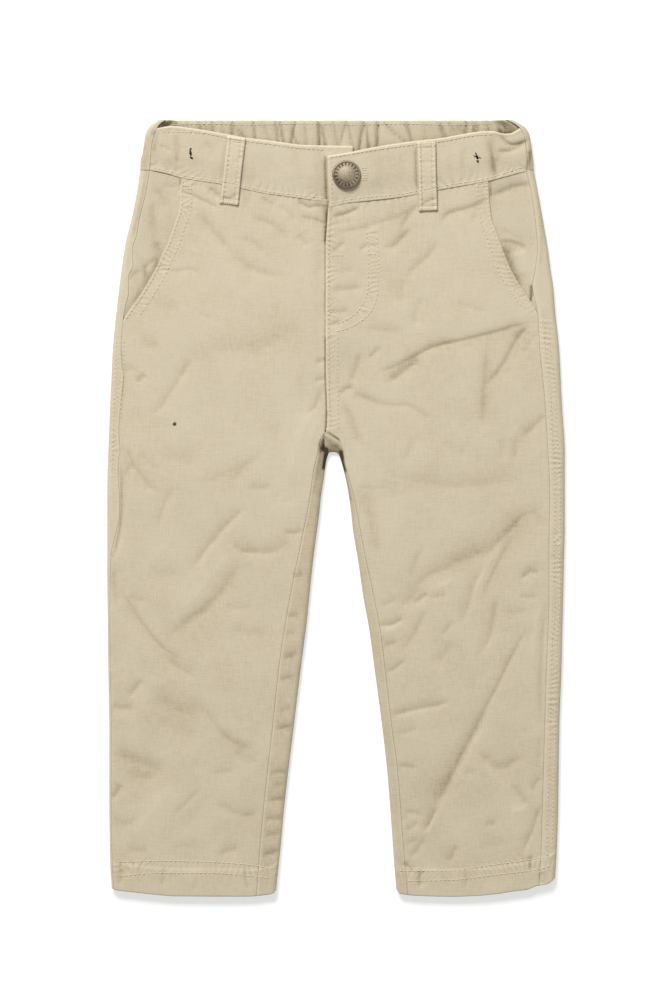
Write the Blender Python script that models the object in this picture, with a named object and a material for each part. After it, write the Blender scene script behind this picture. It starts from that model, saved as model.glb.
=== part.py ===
# A toddler's cotton chino trousers, laid flat with the front side up.
#
# X runs to the wearer's left, Y up to the waist, Z up from the surface that the trousers lie on.
# The origin is on that surface, in the middle of the outline.
# Sizes are in millimetres. "Down" is the distance below the top edge of the waistband.
# The tables hold one row for each section, edge point or fold; smooth curves run through the rows.

import math
from collections import namedtuple

import bmesh
import bpy
from mathutils import Vector

MM = 0.001

# Driving dimensions
LENGTH = 467.0             # top edge of the waistband to the lowest point of the hems
CLOTH_WALL = 1.2           # one layer of cloth
FRONT_BAND_WALL = 2.6      # front waistband, cloth folded over its stiffening
BACK_BAND_WALL = 2.2       # elasticated back waistband, between its gathers
SEAM_GAP = 0.3             # between two pieces that are sewn together
FOLD_REACH = 3.0           # how far in from the outline a folded edge of the legs rounds over
BAND_FOLD_REACH = 3.2      # the same on the thicker waistband
ROW_STEP = 10.0            # usual stretch between two rows of a panel
STEP_ALLOWANCE = 0.25      # a stretch may be longer than that by this share
SAME_PLACE = 0.01          # two places closer than this are one
FRONT_COLUMNS = 10         # even strips across a front between its two edge strips
EDGE_STRIP = 2.5           # narrow strip along each edge of a front
WAIST_FOLLOW = 40.0        # over this stretch the rows of a front bend to follow the waist seam
INSEAM_HALF_GAP = 0.2      # each side of an inseam, measured across its slant
ROUND_LIMIT = 0.8          # a narrow strip is rounded over this share of its width at most
ROUND_SHARES = (0.55, 0.18)  # columns between the flat part and the rim, as shares of the rounding
UNDER_SHARE = 0.18         # column where a rounded edge turns under
UNDERSIDE_SHARES = (0.25, 0.5, 0.75)  # columns on the surface, between the outer and the inner edge
SHARP_ANGLE = 40.0         # edges sharper than this, in degrees, aren't smoothed

BAND_HEIGHT = 7.0          # top of the front waistband above the surface
UNDERLAP_HEIGHT = 5.5      # top of the button stand, under the lapped end
OVERLAP_HEIGHT = 8.4       # top of the lapped end
BAND_EDGE_ROUND = 0.8      # how much a band's edge is rounded off, from above and from below
BAND_EDGE_SHARE = 0.04     # width of that rounding, as a share of the band's height
BAND_CORNER_SHARE = 0.12   # end part of a front band that bends to follow the side seam
BAND_END_STRIP = 1.3       # narrow strip along the lapped end and the end of the button stand
UNDERLAP_START = -15.0     # x where the band starts to sink to the button stand
UNDERLAP_FULL = -6.4
OVERLAP_FULL = 17.5        # x where the lapped end is fully up
OVERLAP_START = 38.0
CRUMPLE_START = 86.0       # x where the band on the left starts to crumple towards the side seam
LAP_SLANT = 1.0            # how much further the lapped end reaches at its top than at the seam
STAND_SLANT = 0.6          # how much further the button stand reaches at the seam than at its top

FLY_LIFT = 1.0             # the lapped front rides up over the other
FLY_SINK = 0.7             # and the front below it sinks
FLY_LIFT_REACH = 12.0
FLY_SINK_START = 1.0       # beside the lapped edge
FLY_SINK_REACH = 9.0
FLY_FADE_START = 136.0     # down where the lift starts to fade out, at the foot of the fly
FLY_FADE_END = 154.0

HEM_DEPTH = 16.2           # turned-up hem
HEM_TURN = 0.45            # how much its extra layers stand proud
HEM_TURN_RUN = 1.0         # half the slope from one layer to more, along the leg
HEM_FOLLOW_START = 50.0    # above the hem, where the rows start to bend to its outline
HEM_FOLLOW_END = 18.0      # and where they follow it fully
FACING_UNDER = 8.0         # how far the pocket facing runs on under the front
FACING_SINK = 1.6          # top of the facing below the top of the front at the pocket mouth
FACING_SEAM_SINK = 0.1     # and at the side seam
FACING_END = 6.0           # the facing stops this far above the end of the pocket mouth
FACING_ROW_ROOM = 2.0      # least stretch between its last two rows
FACING_SHARES = (0.0, 0.35, 0.7, 1.0)  # columns from the side seam to the pocket mouth
MOUTH_STEP = 8.0           # usual stretch between rows of a front along the pocket mouth

GATHER_HEIGHT = 0.4        # crests and troughs of the gathers on the back waistband
GATHER_SCALLOP = 0.4       # dip of the top edge at each trough
GATHER_EDGE = 4.8          # stretch over which that dip fades out
GATHER_LAST = 3.0          # half width of the outermost troughs
BACK_BAND_ROUND = 0.6      # rounding of the back band's top edge
BACK_BAND_ROWS = (0.8, 1.6, 3.2, 5.6, 9.2, 14.0, 20.0, 25.0)  # down of the rows above the waist seam

LOOP_WIDTH = 11.2
LOOP_WALL = 1.6
LOOP_SEAT = 0.35           # air under the sewn ends of a belt loop
LOOP_STAND = 0.8           # extra air under its middle
LOOP_RIB = 0.25            # rolled long edges of a loop
LOOP_EDGE_ROUND = 0.5      # rounding of the long edges
LOOP_END_ROUND = 0.4       # and of the ends
LOOP_ROWS = 12
LOOP_ARCH = 0.6            # below 1 the strip rises quickly from its sewn ends and is flat between
LOOP_STEP_START = 1.0      # below the waist seam, where a loop starts to come down to the cloth of the leg
LOOP_STEP_END = 7.0

BUTTON_DIAMETER = 17.0
BUTTON_SHANK = 5.2
BUTTON_X = 6.3
BUTTON_DOWN = 33.7
BUTTON_SIDES = 28
BUTTONHOLE_LEFT = 2.9
BUTTONHOLE_RIGHT = 9.9
BUTTONHOLE_TOP = 0.33      # as shares of the band's height
BUTTONHOLE_BOTTOM = 0.54

# One row for each section across a leg, from the waist seam down to the hem, at the outer edge's "down".
# outer: outline; side: side seam on the upper layer; rim: inner outline; inseam: seam on the upper layer.
# Above the crotch a section has no inner edge and its back ends at the centre-back seam.
Section = namedtuple("Section", "down outer side rim rim_down inseam inseam_down")

RIGHT_SECTIONS = [Section(*row) for row in (
    (30.8, -117.6, -111.9, None, None, None, None),
    (46.4, -120.0, -114.6, None, None, None, None),
    (60.8, -123.0, -118.2, None, None, None, None),
    (80.6, -127.5, -121.8, None, None, None, None),
    (99.2, -129.9, -124.5, None, None, None, None),
    (119.6, -132.3, -127.5, None, None, None, None),
    (138.8, -134.1, -129.0, None, None, None, None),
    (170.0, -135.6, -129.3, None, None, None, None),
    (200.3, -136.8, -130.2, -4.2, 200.3, -6.3, 188.6),
    (203.3, -136.9, -130.4, -5.0, 202.4, -9.4, 192.5),
    (206.6, -137.0, -130.6, -5.9, 205.7, -10.7, 199.4),
    (210.2, -137.2, -130.7, -6.5, 209.6, -12.6, 207.2),
    (215.6, -137.3, -130.7, -7.2, 215.0, -13.9, 214.1),
    (225.8, -137.4, -130.0, -8.9, 225.8, -15.4, 225.2),
    (236.6, -137.4, -129.9, -10.0, 236.6, -17.4, 236.6),
    (249.8, -137.4, -132.3, -11.7, 249.8, -20.1, 249.8),
    (260.6, -137.4, -134.9, -13.2, 260.6, -22.3, 260.6),
    (276.8, -137.4, -135.6, -15.0, 276.8, -25.6, 276.8),
    (300.8, -137.1, -135.8, -17.4, 300.8, -30.0, 300.8),
    (329.0, -136.8, -135.5, -21.0, 329.0, -34.2, 329.0),
    (366.2, -136.2, -134.9, -25.5, 366.2, -38.2, 366.2),
    (408.8, -136.2, -134.9, -30.6, 408.8, -43.0, 408.8),
    (443.6, -135.7, -134.4, -34.1, 443.6, -46.6, 443.6),
    (460.4, -134.7, -133.4, -35.9, 460.4, -47.8, 460.4),
)]

LEFT_SECTIONS = [Section(*row) for row in (
    (30.8, 118.8, 114.3, None, None, None, None),
    (46.4, 121.8, 117.6, None, None, None, None),
    (62.0, 124.5, 119.8, None, None, None, None),
    (77.6, 127.2, 121.0, None, None, None, None),
    (91.4, 129.0, 119.4, None, None, None, None),
    (100.4, 130.4, 117.8, None, None, None, None),
    (116.0, 131.7, 120.9, None, None, None, None),
    (138.2, 134.0, 122.4, None, None, None, None),
    (170.0, 135.6, 125.4, None, None, None, None),
    (200.3, 137.4, 127.2, -4.2, 200.3, -6.3, 188.6),
    (202.4, 137.4, 127.3, -1.5, 200.0, -1.2, 191.3),
    (204.8, 137.4, 127.5, 0.5, 200.5, 2.6, 193.6),
    (207.5, 137.4, 127.7, 1.9, 202.0, 4.6, 198.3),
    (210.8, 137.4, 127.9, 3.1, 205.4, 6.9, 204.0),
    (215.6, 137.4, 128.1, 4.9, 212.0, 9.0, 211.2),
    (223.4, 137.4, 128.3, 7.1, 222.2, 11.3, 221.6),
    (232.4, 137.4, 128.2, 8.6, 232.4, 13.0, 231.8),
    (246.8, 137.4, 128.0, 10.2, 246.8, 15.4, 246.8),
    (266.6, 136.9, 127.8, 13.5, 266.6, 18.8, 266.6),
    (287.0, 136.5, 127.9, 16.4, 287.0, 22.8, 287.0),
    (305.6, 136.0, 127.4, 19.8, 305.6, 26.4, 305.6),
    (331.4, 135.4, 126.3, 23.3, 331.4, 29.6, 331.4),
    (360.8, 134.3, 125.4, 27.2, 360.8, 33.0, 360.8),
    (390.2, 133.8, 124.6, 30.6, 390.2, 36.9, 390.2),
    (423.2, 133.3, 123.6, 33.3, 423.2, 39.6, 423.2),
    (443.6, 132.7, 123.0, 34.8, 443.6, 41.6, 443.6),
    (460.4, 131.6, 121.8, 36.2, 460.4, 43.0, 460.4),
)]

# Where the centre-back seam meets the waist seam
CENTRE_BACK_X = -1.8

# Edges that run down the cloth: one row for each point
Edge = namedtuple("Edge", "down x")

RIGHT_MOUTH = [Edge(*row) for row in (
    (36.3, -93.6), (49.4, -94.0), (56.3, -94.8), (63.8, -97.3), (72.2, -100.2),
    (81.2, -104.4), (91.4, -109.2), (102.2, -115.4), (112.0, -122.1), (119.6, -127.3))]

LEFT_MOUTH = [Edge(*row) for row in (
    (37.6, 91.6), (48.8, 92.2), (60.2, 93.6), (69.2, 97.0), (78.2, 100.2),
    (90.8, 105.4), (101.0, 111.2), (109.6, 116.8), (116.0, 120.7))]

# Front edge of each front: the right one runs on under the fly and then meets the left one in a seam
UNDER_FLY = [Edge(*row) for row in (
    (49.0, -0.6), (121.0, -0.6), (132.0, -5.6), (150.0, -5.7), (188.6, -6.3))]

OVER_FLY = [Edge(*row) for row in (
    (49.0, -4.4), (90.0, -4.8), (132.0, -5.4), (150.0, -5.7), (188.6, -6.3))]

# Outline and side seam of the waistband where the back band wraps round to the front
Corner = namedtuple("Corner", "down outer seam")

RIGHT_CORNER = [Corner(*row) for row in (
    (0.8, -106.8, -102.0), (3.2, -110.4, -105.6), (5.6, -112.8, -107.3), (9.2, -114.3, -108.8),
    (14.0, -115.2, -110.1), (20.0, -116.1, -111.0), (24.8, -117.3, -111.3), (30.8, -117.6, -111.9))]

LEFT_CORNER = [Corner(*row) for row in (
    (0.8, 106.2, 102.0), (3.2, 111.0, 107.1), (5.6, 114.0, 110.1), (9.2, 116.1, 112.5),
    (14.0, 117.0, 113.6), (20.0, 117.8, 114.2), (24.8, 118.5, 114.7), (30.8, 118.8, 114.6))]

# Edges that run across: top edge and waist seam of each front band, waist seam of each side, and hems
Band = namedtuple("Band", "x top seam")

RIGHT_BAND = [Band(*row) for row in (
    (-107.1, 5.7, 32.0), (-99.6, 4.4, 33.5), (-83.4, 6.2, 37.3), (-66.0, 9.2, 39.9), (-52.8, 11.6, 42.8),
    (-42.6, 12.8, 45.0), (-33.6, 14.0, 46.2), (-19.8, 15.7, 48.0), (-6.0, 16.0, 49.6), (10.2, 16.2, 49.4))]

LEFT_BAND = [Band(*row) for row in (
    (-5.4, 22.4, 53.8), (6.0, 20.6, 50.9), (20.4, 17.6, 49.3), (38.4, 14.6, 47.2), (47.4, 13.4, 45.6),
    (61.2, 11.9, 42.9), (84.0, 8.0, 39.0), (90.0, 7.4, 37.8), (94.8, 7.6, 36.8), (98.1, 9.8, 35.9),
    (100.2, 12.5, 35.4), (103.2, 10.4, 34.6), (106.2, 8.3, 33.7), (109.7, 5.7, 32.8))]

Seam = namedtuple("Seam", "x down")

RIGHT_WAIST = [Seam(*row) for row in (
    (-117.6, 30.8), (-111.9, 31.1), (-100.8, 33.2), (-92.4, 35.7), (-68.4, 39.5), (-57.0, 41.8),
    (-42.6, 45.0), (-33.6, 46.2), (-23.4, 47.6), (-6.0, 49.6), (10.8, 49.4))]

LEFT_WAIST = [Seam(*row) for row in (
    (-5.4, 53.8), (6.0, 50.9), (20.4, 49.3), (38.4, 47.2), (48.6, 45.4), (61.8, 42.8),
    (90.0, 37.8), (112.8, 32.0), (118.8, 30.8))]

RIGHT_HEM = [Seam(*row) for row in (
    (-137.4, 460.1), (-132.0, 463.1), (-121.8, 464.3), (-111.0, 465.5), (-96.0, 466.7),
    (-53.4, 466.9), (-42.6, 466.0), (-37.8, 465.1), (-35.4, 462.2))]

LEFT_HEM = [Seam(*row) for row in (
    (36.0, 462.2), (38.4, 465.2), (48.0, 466.4), (68.4, 467.0), (85.8, 466.4), (97.8, 465.2),
    (105.0, 464.0), (114.6, 462.8), (120.0, 460.7), (127.2, 459.2), (133.2, 454.4))]

# Height of the upper layer of the legs above the surface
Level = namedtuple("Level", "down height")

LEVELS = [Level(*row) for row in ((30.0, 5.8), (110.0, 5.8), (200.0, 5.5), (300.0, 5.2), (467.0, 5.2))]

# Largest folds of the upper layer: a trough along three points with a lower ridge on its left-hand side,
# seen along the fold. Negative depths turn the two over.
Fold = namedtuple("Fold", "x1 down1 x2 down2 x3 down3 width depth")

FOLD_END = 0.12            # at its two ends a fold has faded to this point of its rise
RIDGE_ASIDE = 1.7          # distance from a trough to its ridge, in widths
RIDGE_SHARE = 0.55         # height of the ridge, as a share of the trough's depth

FOLDS = [Fold(*row) for row in (
    (116.4, 122.0, 68.0, 134.0, 28.0, 155.0, 4.5, 0.9),
    (116.0, 125.0, 91.0, 153.0, 88.0, 186.0, 5.0, 0.7),
    (124.0, 178.0, 110.0, 190.0, 106.0, 201.0, 5.0, 0.6),
    (115.2, 234.0, 74.0, 264.0, 45.0, 287.0, 7.5, 0.9),
    (101.0, 251.0, 92.0, 266.0, 85.0, 284.0, 5.0, 0.6),
    (115.0, 307.0, 88.0, 352.0, 54.0, 426.0, 7.5, 0.8),
    (35.0, 356.0, 50.0, 354.0, 66.0, 348.0, 5.0, 0.5),
    (121.0, 414.0, 116.0, 426.0, 111.0, 440.0, 5.0, 0.5),
    (15.0, 142.0, 12.0, 150.0, 9.6, 157.0, 4.5, 0.5),
    (-60.0, 235.0, -74.0, 250.0, -86.0, 266.0, 6.0, 0.6),
    (-59.4, 262.0, -80.0, 292.0, -102.0, 310.0, 6.5, 0.8),
    (-117.0, 301.0, -92.0, 322.0, -79.0, 332.0, 6.0, 0.6),
    (-58.0, 258.0, -40.0, 259.0, -22.0, 260.0, 5.0, 0.4),
    (-117.6, 337.0, -121.0, 342.0, -125.0, 346.0, 5.0, 0.4),
    (-82.0, 403.0, -90.0, 410.0, -98.0, 417.0, 7.0, 0.4),
    (-90.0, 147.0, -96.0, 154.0, -101.0, 160.0, 6.0, 0.4),
)]

# Creases on the lapped front band where its end is crumpled
BAND_FOLDS = [Fold(*row) for row in (
    (98.4, 13.4, 102.0, 15.0, 105.0, 16.4, 2.0, 0.7),
    (101.4, 18.9, 106.0, 17.5, 114.0, 12.5, 2.2, 0.8),
)]

# Troughs between the gathers of the back waistband
GATHERS = (-81.6, -74.4, -61.8, -48.6, -34.8, -26.4, -8.4, 7.2, 18.6, 26.4, 42.6, 63.6, 78.6, 85.2, 98.0)

# Centre line of each belt loop, from its upper to its lower end
LoopLine = namedtuple("LoopLine", "name top_x top_down end_x end_down")

LOOPS = [LoopLine(*row) for row in (
    ("belt_loop_right", -59.6, 11.0, -64.2, 51.6),
    ("belt_loop_left", 54.2, 14.2, 55.4, 55.4))]

# Across a loop: place as a share of its width, and rise of its face
LoopColumn = namedtuple("LoopColumn", "place rise")

LOOP_COLUMNS = [LoopColumn(*row) for row in (
    (-0.5, -LOOP_EDGE_ROUND), (-0.4, LOOP_RIB), (-0.2, 0.0),
    (0.2, 0.0), (0.4, LOOP_RIB), (0.5, -LOOP_EDGE_ROUND))]

# Turned profile of the metal button: its spread as a share of the radius, and height above the lapped band
Ring = namedtuple("Ring", "spread height")

BUTTON_CAP = [Ring(*row) for row in (
    (0.95, 0.3), (1.0, 0.7), (1.0, 1.4), (0.94, 2.0), (0.87, 2.1), (0.81, 1.8), (0.61, 1.9),
    (0.55, 2.3), (0.35, 2.7))]
BUTTON_CROWN = 2.9

Finish = namedtuple("Finish", "colour roughness metallic")

CLOTH_FINISH = Finish((0.63, 0.55, 0.40), 0.9, 0.0)
BAND_FINISH = Finish((0.62, 0.53, 0.38), 0.9, 0.0)
FACING_FINISH = Finish((0.60, 0.51, 0.37), 0.9, 0.0)
LOOP_FINISH = Finish((0.64, 0.56, 0.42), 0.9, 0.0)
METAL_FINISH = Finish((0.30, 0.25, 0.18), 0.45, 1.0)

Side = namedtuple("Side", "name sign sections mouth fly waist hem")

RIGHT = Side("right", -1, RIGHT_SECTIONS, RIGHT_MOUTH, UNDER_FLY, RIGHT_WAIST, RIGHT_HEM)
LEFT = Side("left", 1, LEFT_SECTIONS, LEFT_MOUTH, OVER_FLY, LEFT_WAIST, LEFT_HEM)


def read(rows, column, place):
    """A column's value at a place along the first column, on a smooth curve through the rows."""
    places = [row[0] for row in rows]
    values = [getattr(row, column) for row in rows]
    if place <= places[0]:
        return values[0]
    if place >= places[-1]:
        return values[-1]
    slopes = [(values[i + 1] - values[i]) / (places[i + 1] - places[i]) for i in range(len(rows) - 1)]

    def tangent(i):
        if i == 0:
            return slopes[0]
        if i == len(rows) - 1:
            return slopes[-1]
        before, after = slopes[i - 1], slopes[i]
        if before * after <= 0:
            return 0.0
        return 2 * before * after / (before + after)

    i = max(k for k in range(len(rows) - 1) if places[k] <= place)
    span = places[i + 1] - places[i]
    t = (place - places[i]) / span
    start = (1 + 2 * t) * (1 - t) ** 2 * values[i] + t * (1 - t) ** 2 * span * tangent(i)
    end = t * t * (3 - 2 * t) * values[i + 1] - t * t * (1 - t) * span * tangent(i + 1)
    return start + end


def ease(value, start, end):
    """0 before start, 1 after end, and a smooth step between."""
    t = min(1.0, max(0.0, (value - start) / (end - start)))
    return t * t * (3 - 2 * t)


def subdivided(places, step):
    """The places with even ones put between those that are more than a step apart."""
    filled = [places[0]]
    for first, second in zip(places, places[1:]):
        parts = max(1, math.ceil((second - first) / step - STEP_ALLOWANCE))
        filled += [first + (second - first) * i / parts for i in range(1, parts)] + [second]
    return filled


def fold_relief(folds, x, down):
    """Height that the folds add at a point of the upper layer."""
    total = 0.0
    here = Vector((x, down))
    for fold in folds:
        corners = ((fold.x1, fold.down1), (fold.x2, fold.down2), (fold.x3, fold.down3))
        points = [Vector(corner) for corner in corners]
        lengths = [(points[1] - points[0]).length, (points[2] - points[1]).length]
        nearest = None
        for i in range(2):
            along = points[i + 1] - points[i]
            t = min(1.0, max(0.0, (here - points[i]).dot(along) / along.length_squared))
            offset = here - points[i] - along * t
            travelled = (lengths[0] if i else 0.0) + lengths[i] * t
            if nearest is None or offset.length < nearest[0]:
                aside = (along.x * offset.y - along.y * offset.x) / along.length
                nearest = (offset.length, aside, travelled / sum(lengths))
        distance, aside, share = nearest
        fade = math.sin(math.pi * (FOLD_END + (1 - 2 * FOLD_END) * share))
        trough = math.exp(-(distance / fold.width) ** 2)
        beside = math.hypot(aside + RIDGE_ASIDE * fold.width, max(0.0, distance - abs(aside)))
        ridge = RIDGE_SHARE * math.exp(-(beside / fold.width) ** 2)
        total += fold.depth * fade * (ridge - trough)
    return total


def hem_place(side, x, down):
    """Down, moved so that the last row follows the hem's outline."""
    straight = side.sections[-1].down
    follow = ease(down, straight - HEM_FOLLOW_START, straight - HEM_FOLLOW_END)
    return down + (read(side.hem, "down", x) - straight) * follow


def upper_height(side, x, down):
    """Top of the upper layer at a point that has not yet been moved to follow the hem."""
    hem_top = side.sections[-1].down - HEM_DEPTH
    turned = HEM_TURN * ease(down, hem_top - HEM_TURN_RUN, hem_top + HEM_TURN_RUN)
    return read(LEVELS, "height", down) + fold_relief(FOLDS, x, down) + turned


def fold_points(rim, inward, reach, height, wall, upper, depth):
    """Outer and inner point of the cloth, at a reach in from the rim of a folded edge."""
    cosine = max(0.0, 1.0 - reach / depth)
    sine = math.sqrt(1.0 - cosine * cosine)
    turn = 1.0 if upper else -1.0
    outer = rim + inward * reach
    inner = rim + inward * (reach + wall * cosine)
    outer_z = height / 2 * (1 + turn * sine)
    inner_z = height / 2 + turn * (height / 2 - wall) * sine
    return (outer.x, outer.y, outer_z), (inner.x, inner.y, inner_z)


def upper_reaches(length, depth):
    """Reaches of the columns of an upper strip, from its seam out to the rim."""
    rounded = min(depth, ROUND_LIMIT * length)
    return (length, rounded, *(share * rounded for share in ROUND_SHARES), 0.0)


def lower_reaches(depth):
    """Reaches of the two columns that turn under, from the rim in."""
    return (UNDER_SHARE * depth, depth)


def placed(point):
    """A point (x, down, height) in the scene, in metres."""
    x, down, height = point
    return Vector((x, LENGTH / 2 - down, height)) * MM


def finished(name, mesh, finish):
    """Link the mesh to the scene as a named object with its own material."""
    material = bpy.data.materials.new(name)
    material.use_nodes = True
    shader = material.node_tree.nodes["Principled BSDF"]
    shader.inputs["Base Color"].default_value = (*finish.colour, 1.0)
    shader.inputs["Roughness"].default_value = finish.roughness
    shader.inputs["Metallic"].default_value = finish.metallic
    material.diffuse_color = (*finish.colour, 1.0)
    mesh.materials.append(material)
    mesh.shade_smooth()
    mesh.set_sharp_from_angle(angle=math.radians(SHARP_ANGLE))
    made = bpy.data.objects.new(name, mesh)
    bpy.context.scene.collection.objects.link(made)
    return made


def closed_sheet(name, rows, finish, holes=()):
    """A closed wall from rows of (outer, inner) points; a hole is a cell (row, column) left out."""
    shape = bmesh.new()
    vertices = {}
    for r, row in enumerate(rows):
        for c, pair in enumerate(row):
            vertices[r, c] = tuple(shape.verts.new(placed(point)) for point in pair)
    cells = [
        ((r, c), (r, c + 1), (r + 1, c + 1), (r + 1, c))
        for r in range(len(rows) - 1)
        for c in range(min(len(rows[r]), len(rows[r + 1])) - 1)
        if (r, c) not in holes
    ]
    sides = set()
    for cell in cells:
        shape.faces.new([vertices[key][0] for key in cell])
        shape.faces.new([vertices[key][1] for key in reversed(cell)])
        sides.update(zip(cell, cell[1:] + cell[:1]))
    for start, end in sides:
        if (end, start) not in sides:
            shape.faces.new((vertices[end][0], vertices[start][0], vertices[start][1], vertices[end][1]))
    loose = [vertex for vertex in shape.verts if not vertex.link_faces]
    bmesh.ops.delete(shape, geom=loose, context="VERTS")
    bmesh.ops.recalc_face_normals(shape, faces=shape.faces)
    mesh = bpy.data.meshes.new(name)
    shape.to_mesh(mesh)
    shape.free()
    return finished(name, mesh, finish)


def leg_rows(side):
    """Down of every row of a side, at its outer edge, and how many of them lie above the crotch."""
    downs = subdivided([section.down for section in side.sections], ROW_STEP)
    downs.append(side.sections[-1].down - HEM_DEPTH + HEM_TURN_RUN)
    downs.sort()
    crotch = next(section.down for section in side.sections if section.rim is not None)
    hips = sum(1 for down in downs if down < crotch - SAME_PLACE)
    return downs, hips


def inner_edge(side, down):
    """Rim point and inseam point of the row that starts at this down on the outer edge."""
    legs = [section for section in side.sections if section.rim is not None]
    rim = Vector((read(legs, "rim", down), read(legs, "rim_down", down)))
    inseam = Vector((read(legs, "inseam", down), read(legs, "inseam_down", down)))
    if down <= legs[0].down + SAME_PLACE:
        aside = Vector((side.sign * SEAM_GAP / 2, 0.0))
        rim += aside
        inseam += aside
    return rim, inseam


def hip_seam_x(side, down):
    """The centre-back seam on the lower layer, on this side's edge of its gap."""
    crotch = next(section for section in side.sections if section.rim is not None)
    top = side.sections[0].down
    share = (down - top) / (crotch.down - top)
    return CENTRE_BACK_X + (crotch.rim - CENTRE_BACK_X) * share + side.sign * SEAM_GAP / 2


def back_leg(side):
    """Back of a leg: from the side seam round the outer edge, along the surface and up to the inseam."""
    downs, hips = leg_rows(side)
    inward = Vector((-side.sign, 0.0))
    rows = []
    for number, down in enumerate(downs):
        level = max(down, side.sections[0].down + SEAM_GAP / 2)
        rim = Vector((read(side.sections, "outer", down), level))
        strip = abs(read(side.sections, "side", down) - rim.x) - SEAM_GAP / 2
        row = []
        for reach in upper_reaches(strip, FOLD_REACH):
            height = upper_height(side, rim.x + inward.x * reach, level)
            row.append(fold_points(rim, inward, reach, height, CLOTH_WALL, True, FOLD_REACH))
        height = upper_height(side, rim.x, level)
        for reach in lower_reaches(FOLD_REACH):
            row.append(fold_points(rim, inward, reach, height, CLOTH_WALL, False, FOLD_REACH))
        start = rim + inward * FOLD_REACH
        if number < hips:
            end = Vector((hip_seam_x(side, down), level))
        else:
            inner_rim, inseam = inner_edge(side, down)
            outward = (inseam - inner_rim).normalized()
            end = inner_rim + outward * FOLD_REACH
        for share in UNDERSIDE_SHARES:
            middle = start.lerp(end, share)
            row.append(((middle.x, middle.y, 0.0), (middle.x, middle.y, CLOTH_WALL)))
        if number < hips:
            row.append(((end.x, end.y, 0.0), (end.x, end.y, CLOTH_WALL)))
        else:
            length = (inseam - inner_rim).length - INSEAM_HALF_GAP
            height = upper_height(side, inner_rim.x, inner_rim.y)
            for reach in reversed(lower_reaches(FOLD_REACH)):
                row.append(fold_points(inner_rim, outward, reach, height, CLOTH_WALL, False, FOLD_REACH))
            for reach in reversed(upper_reaches(length, FOLD_REACH)):
                spot = inner_rim + outward * reach
                height = upper_height(side, spot.x, spot.y)
                row.append(fold_points(inner_rim, outward, reach, height, CLOTH_WALL, True, FOLD_REACH))
        rows.append([tuple((x, hem_place(side, x, y), z) for x, y, z in pair) for pair in row])
    return closed_sheet("back_leg_" + side.name, rows, CLOTH_FINISH)


def fly_change(side, x, down):
    """Rise of the lapped front, or sinking of the front under it, near the fly."""
    fade = 1.0 - ease(down, FLY_FADE_START, FLY_FADE_END)
    from_edge = abs(x - read(OVER_FLY, "x", down))
    if side is LEFT:
        return FLY_LIFT * fade * math.exp(-(from_edge / FLY_LIFT_REACH) ** 2)
    if x > read(OVER_FLY, "x", down):
        return -FLY_SINK * fade
    return -FLY_SINK * fade * (1.0 - ease(from_edge, FLY_SINK_START, FLY_SINK_REACH))


def front_edges(side):
    """The two ends of every row of a front: on the pocket mouth or side seam, and on the fly or inseam."""
    downs, hips = leg_rows(side)
    inward = -side.sign
    mouth_top, mouth_end = side.mouth[0].down, side.mouth[-1].down
    mouth = subdivided([mouth_top, mouth_end], MOUTH_STEP)
    starts = [Vector((read(side.mouth, "x", down), down)) for down in mouth]
    for down in downs:
        if down > mouth_end + EDGE_STRIP / 2:
            starts.append(Vector((read(side.sections, "side", down) + inward * SEAM_GAP / 2, down)))
    crotch = downs[hips]
    crotch_point = inner_edge(side, crotch)[1]
    waist = read(side.waist, "down", read(side.fly, "x", mouth_top))
    ends = []
    for start in starts:
        if start.y < crotch - SAME_PLACE:
            share = (start.y - mouth_top) / (crotch - mouth_top)
            down = waist + (crotch_point.y - waist) * share
            ends.append(Vector((read(side.fly, "x", down) + side.sign * SEAM_GAP / 2, down)))
        else:
            rim, inseam = inner_edge(side, start.y)
            ends.append(inseam + (inseam - rim).normalized() * INSEAM_HALF_GAP)
    return starts, ends


def front_leg(side):
    """Front of a leg: the upper layer between the pocket mouth or side seam and the fly or inseam."""
    inward = Vector((-side.sign, 0.0))
    starts, ends = front_edges(side)
    rows = []
    for start, end in zip(starts, ends):
        along = end - start
        reach = abs(start.x - read(side.sections, "outer", start.y))
        first = max(FOLD_REACH - reach, EDGE_STRIP)
        last = along.length - EDGE_STRIP
        steps = [first * share for share in (0.0, 1 / 3, 2 / 3)]
        steps += [first + (last - first) * i / FRONT_COLUMNS for i in range(FRONT_COLUMNS + 1)]
        steps.append(along.length)
        row = []
        for step in steps:
            spot = start + along.normalized() * step
            waist_gap = read(side.waist, "down", spot.x) + SEAM_GAP / 2
            first_row = starts[0] + (ends[0] - starts[0]) * (step / along.length)
            near_waist = max(0.0, 1.0 - (spot.y - first_row.y) / WAIST_FOLLOW) ** 2
            spot.y += (waist_gap - first_row.y) * near_waist
            rim = Vector((read(side.sections, "outer", spot.y), spot.y))
            height = upper_height(side, spot.x, spot.y) + fly_change(side, spot.x, spot.y)
            across = abs(spot.x - rim.x)
            row.append(fold_points(rim, inward, across, height, CLOTH_WALL, True, FOLD_REACH))
        rows.append([tuple((x, hem_place(side, x, y), z) for x, y, z in pair) for pair in row])
    return closed_sheet("front_leg_" + side.name, rows, CLOTH_FINISH)


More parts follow.
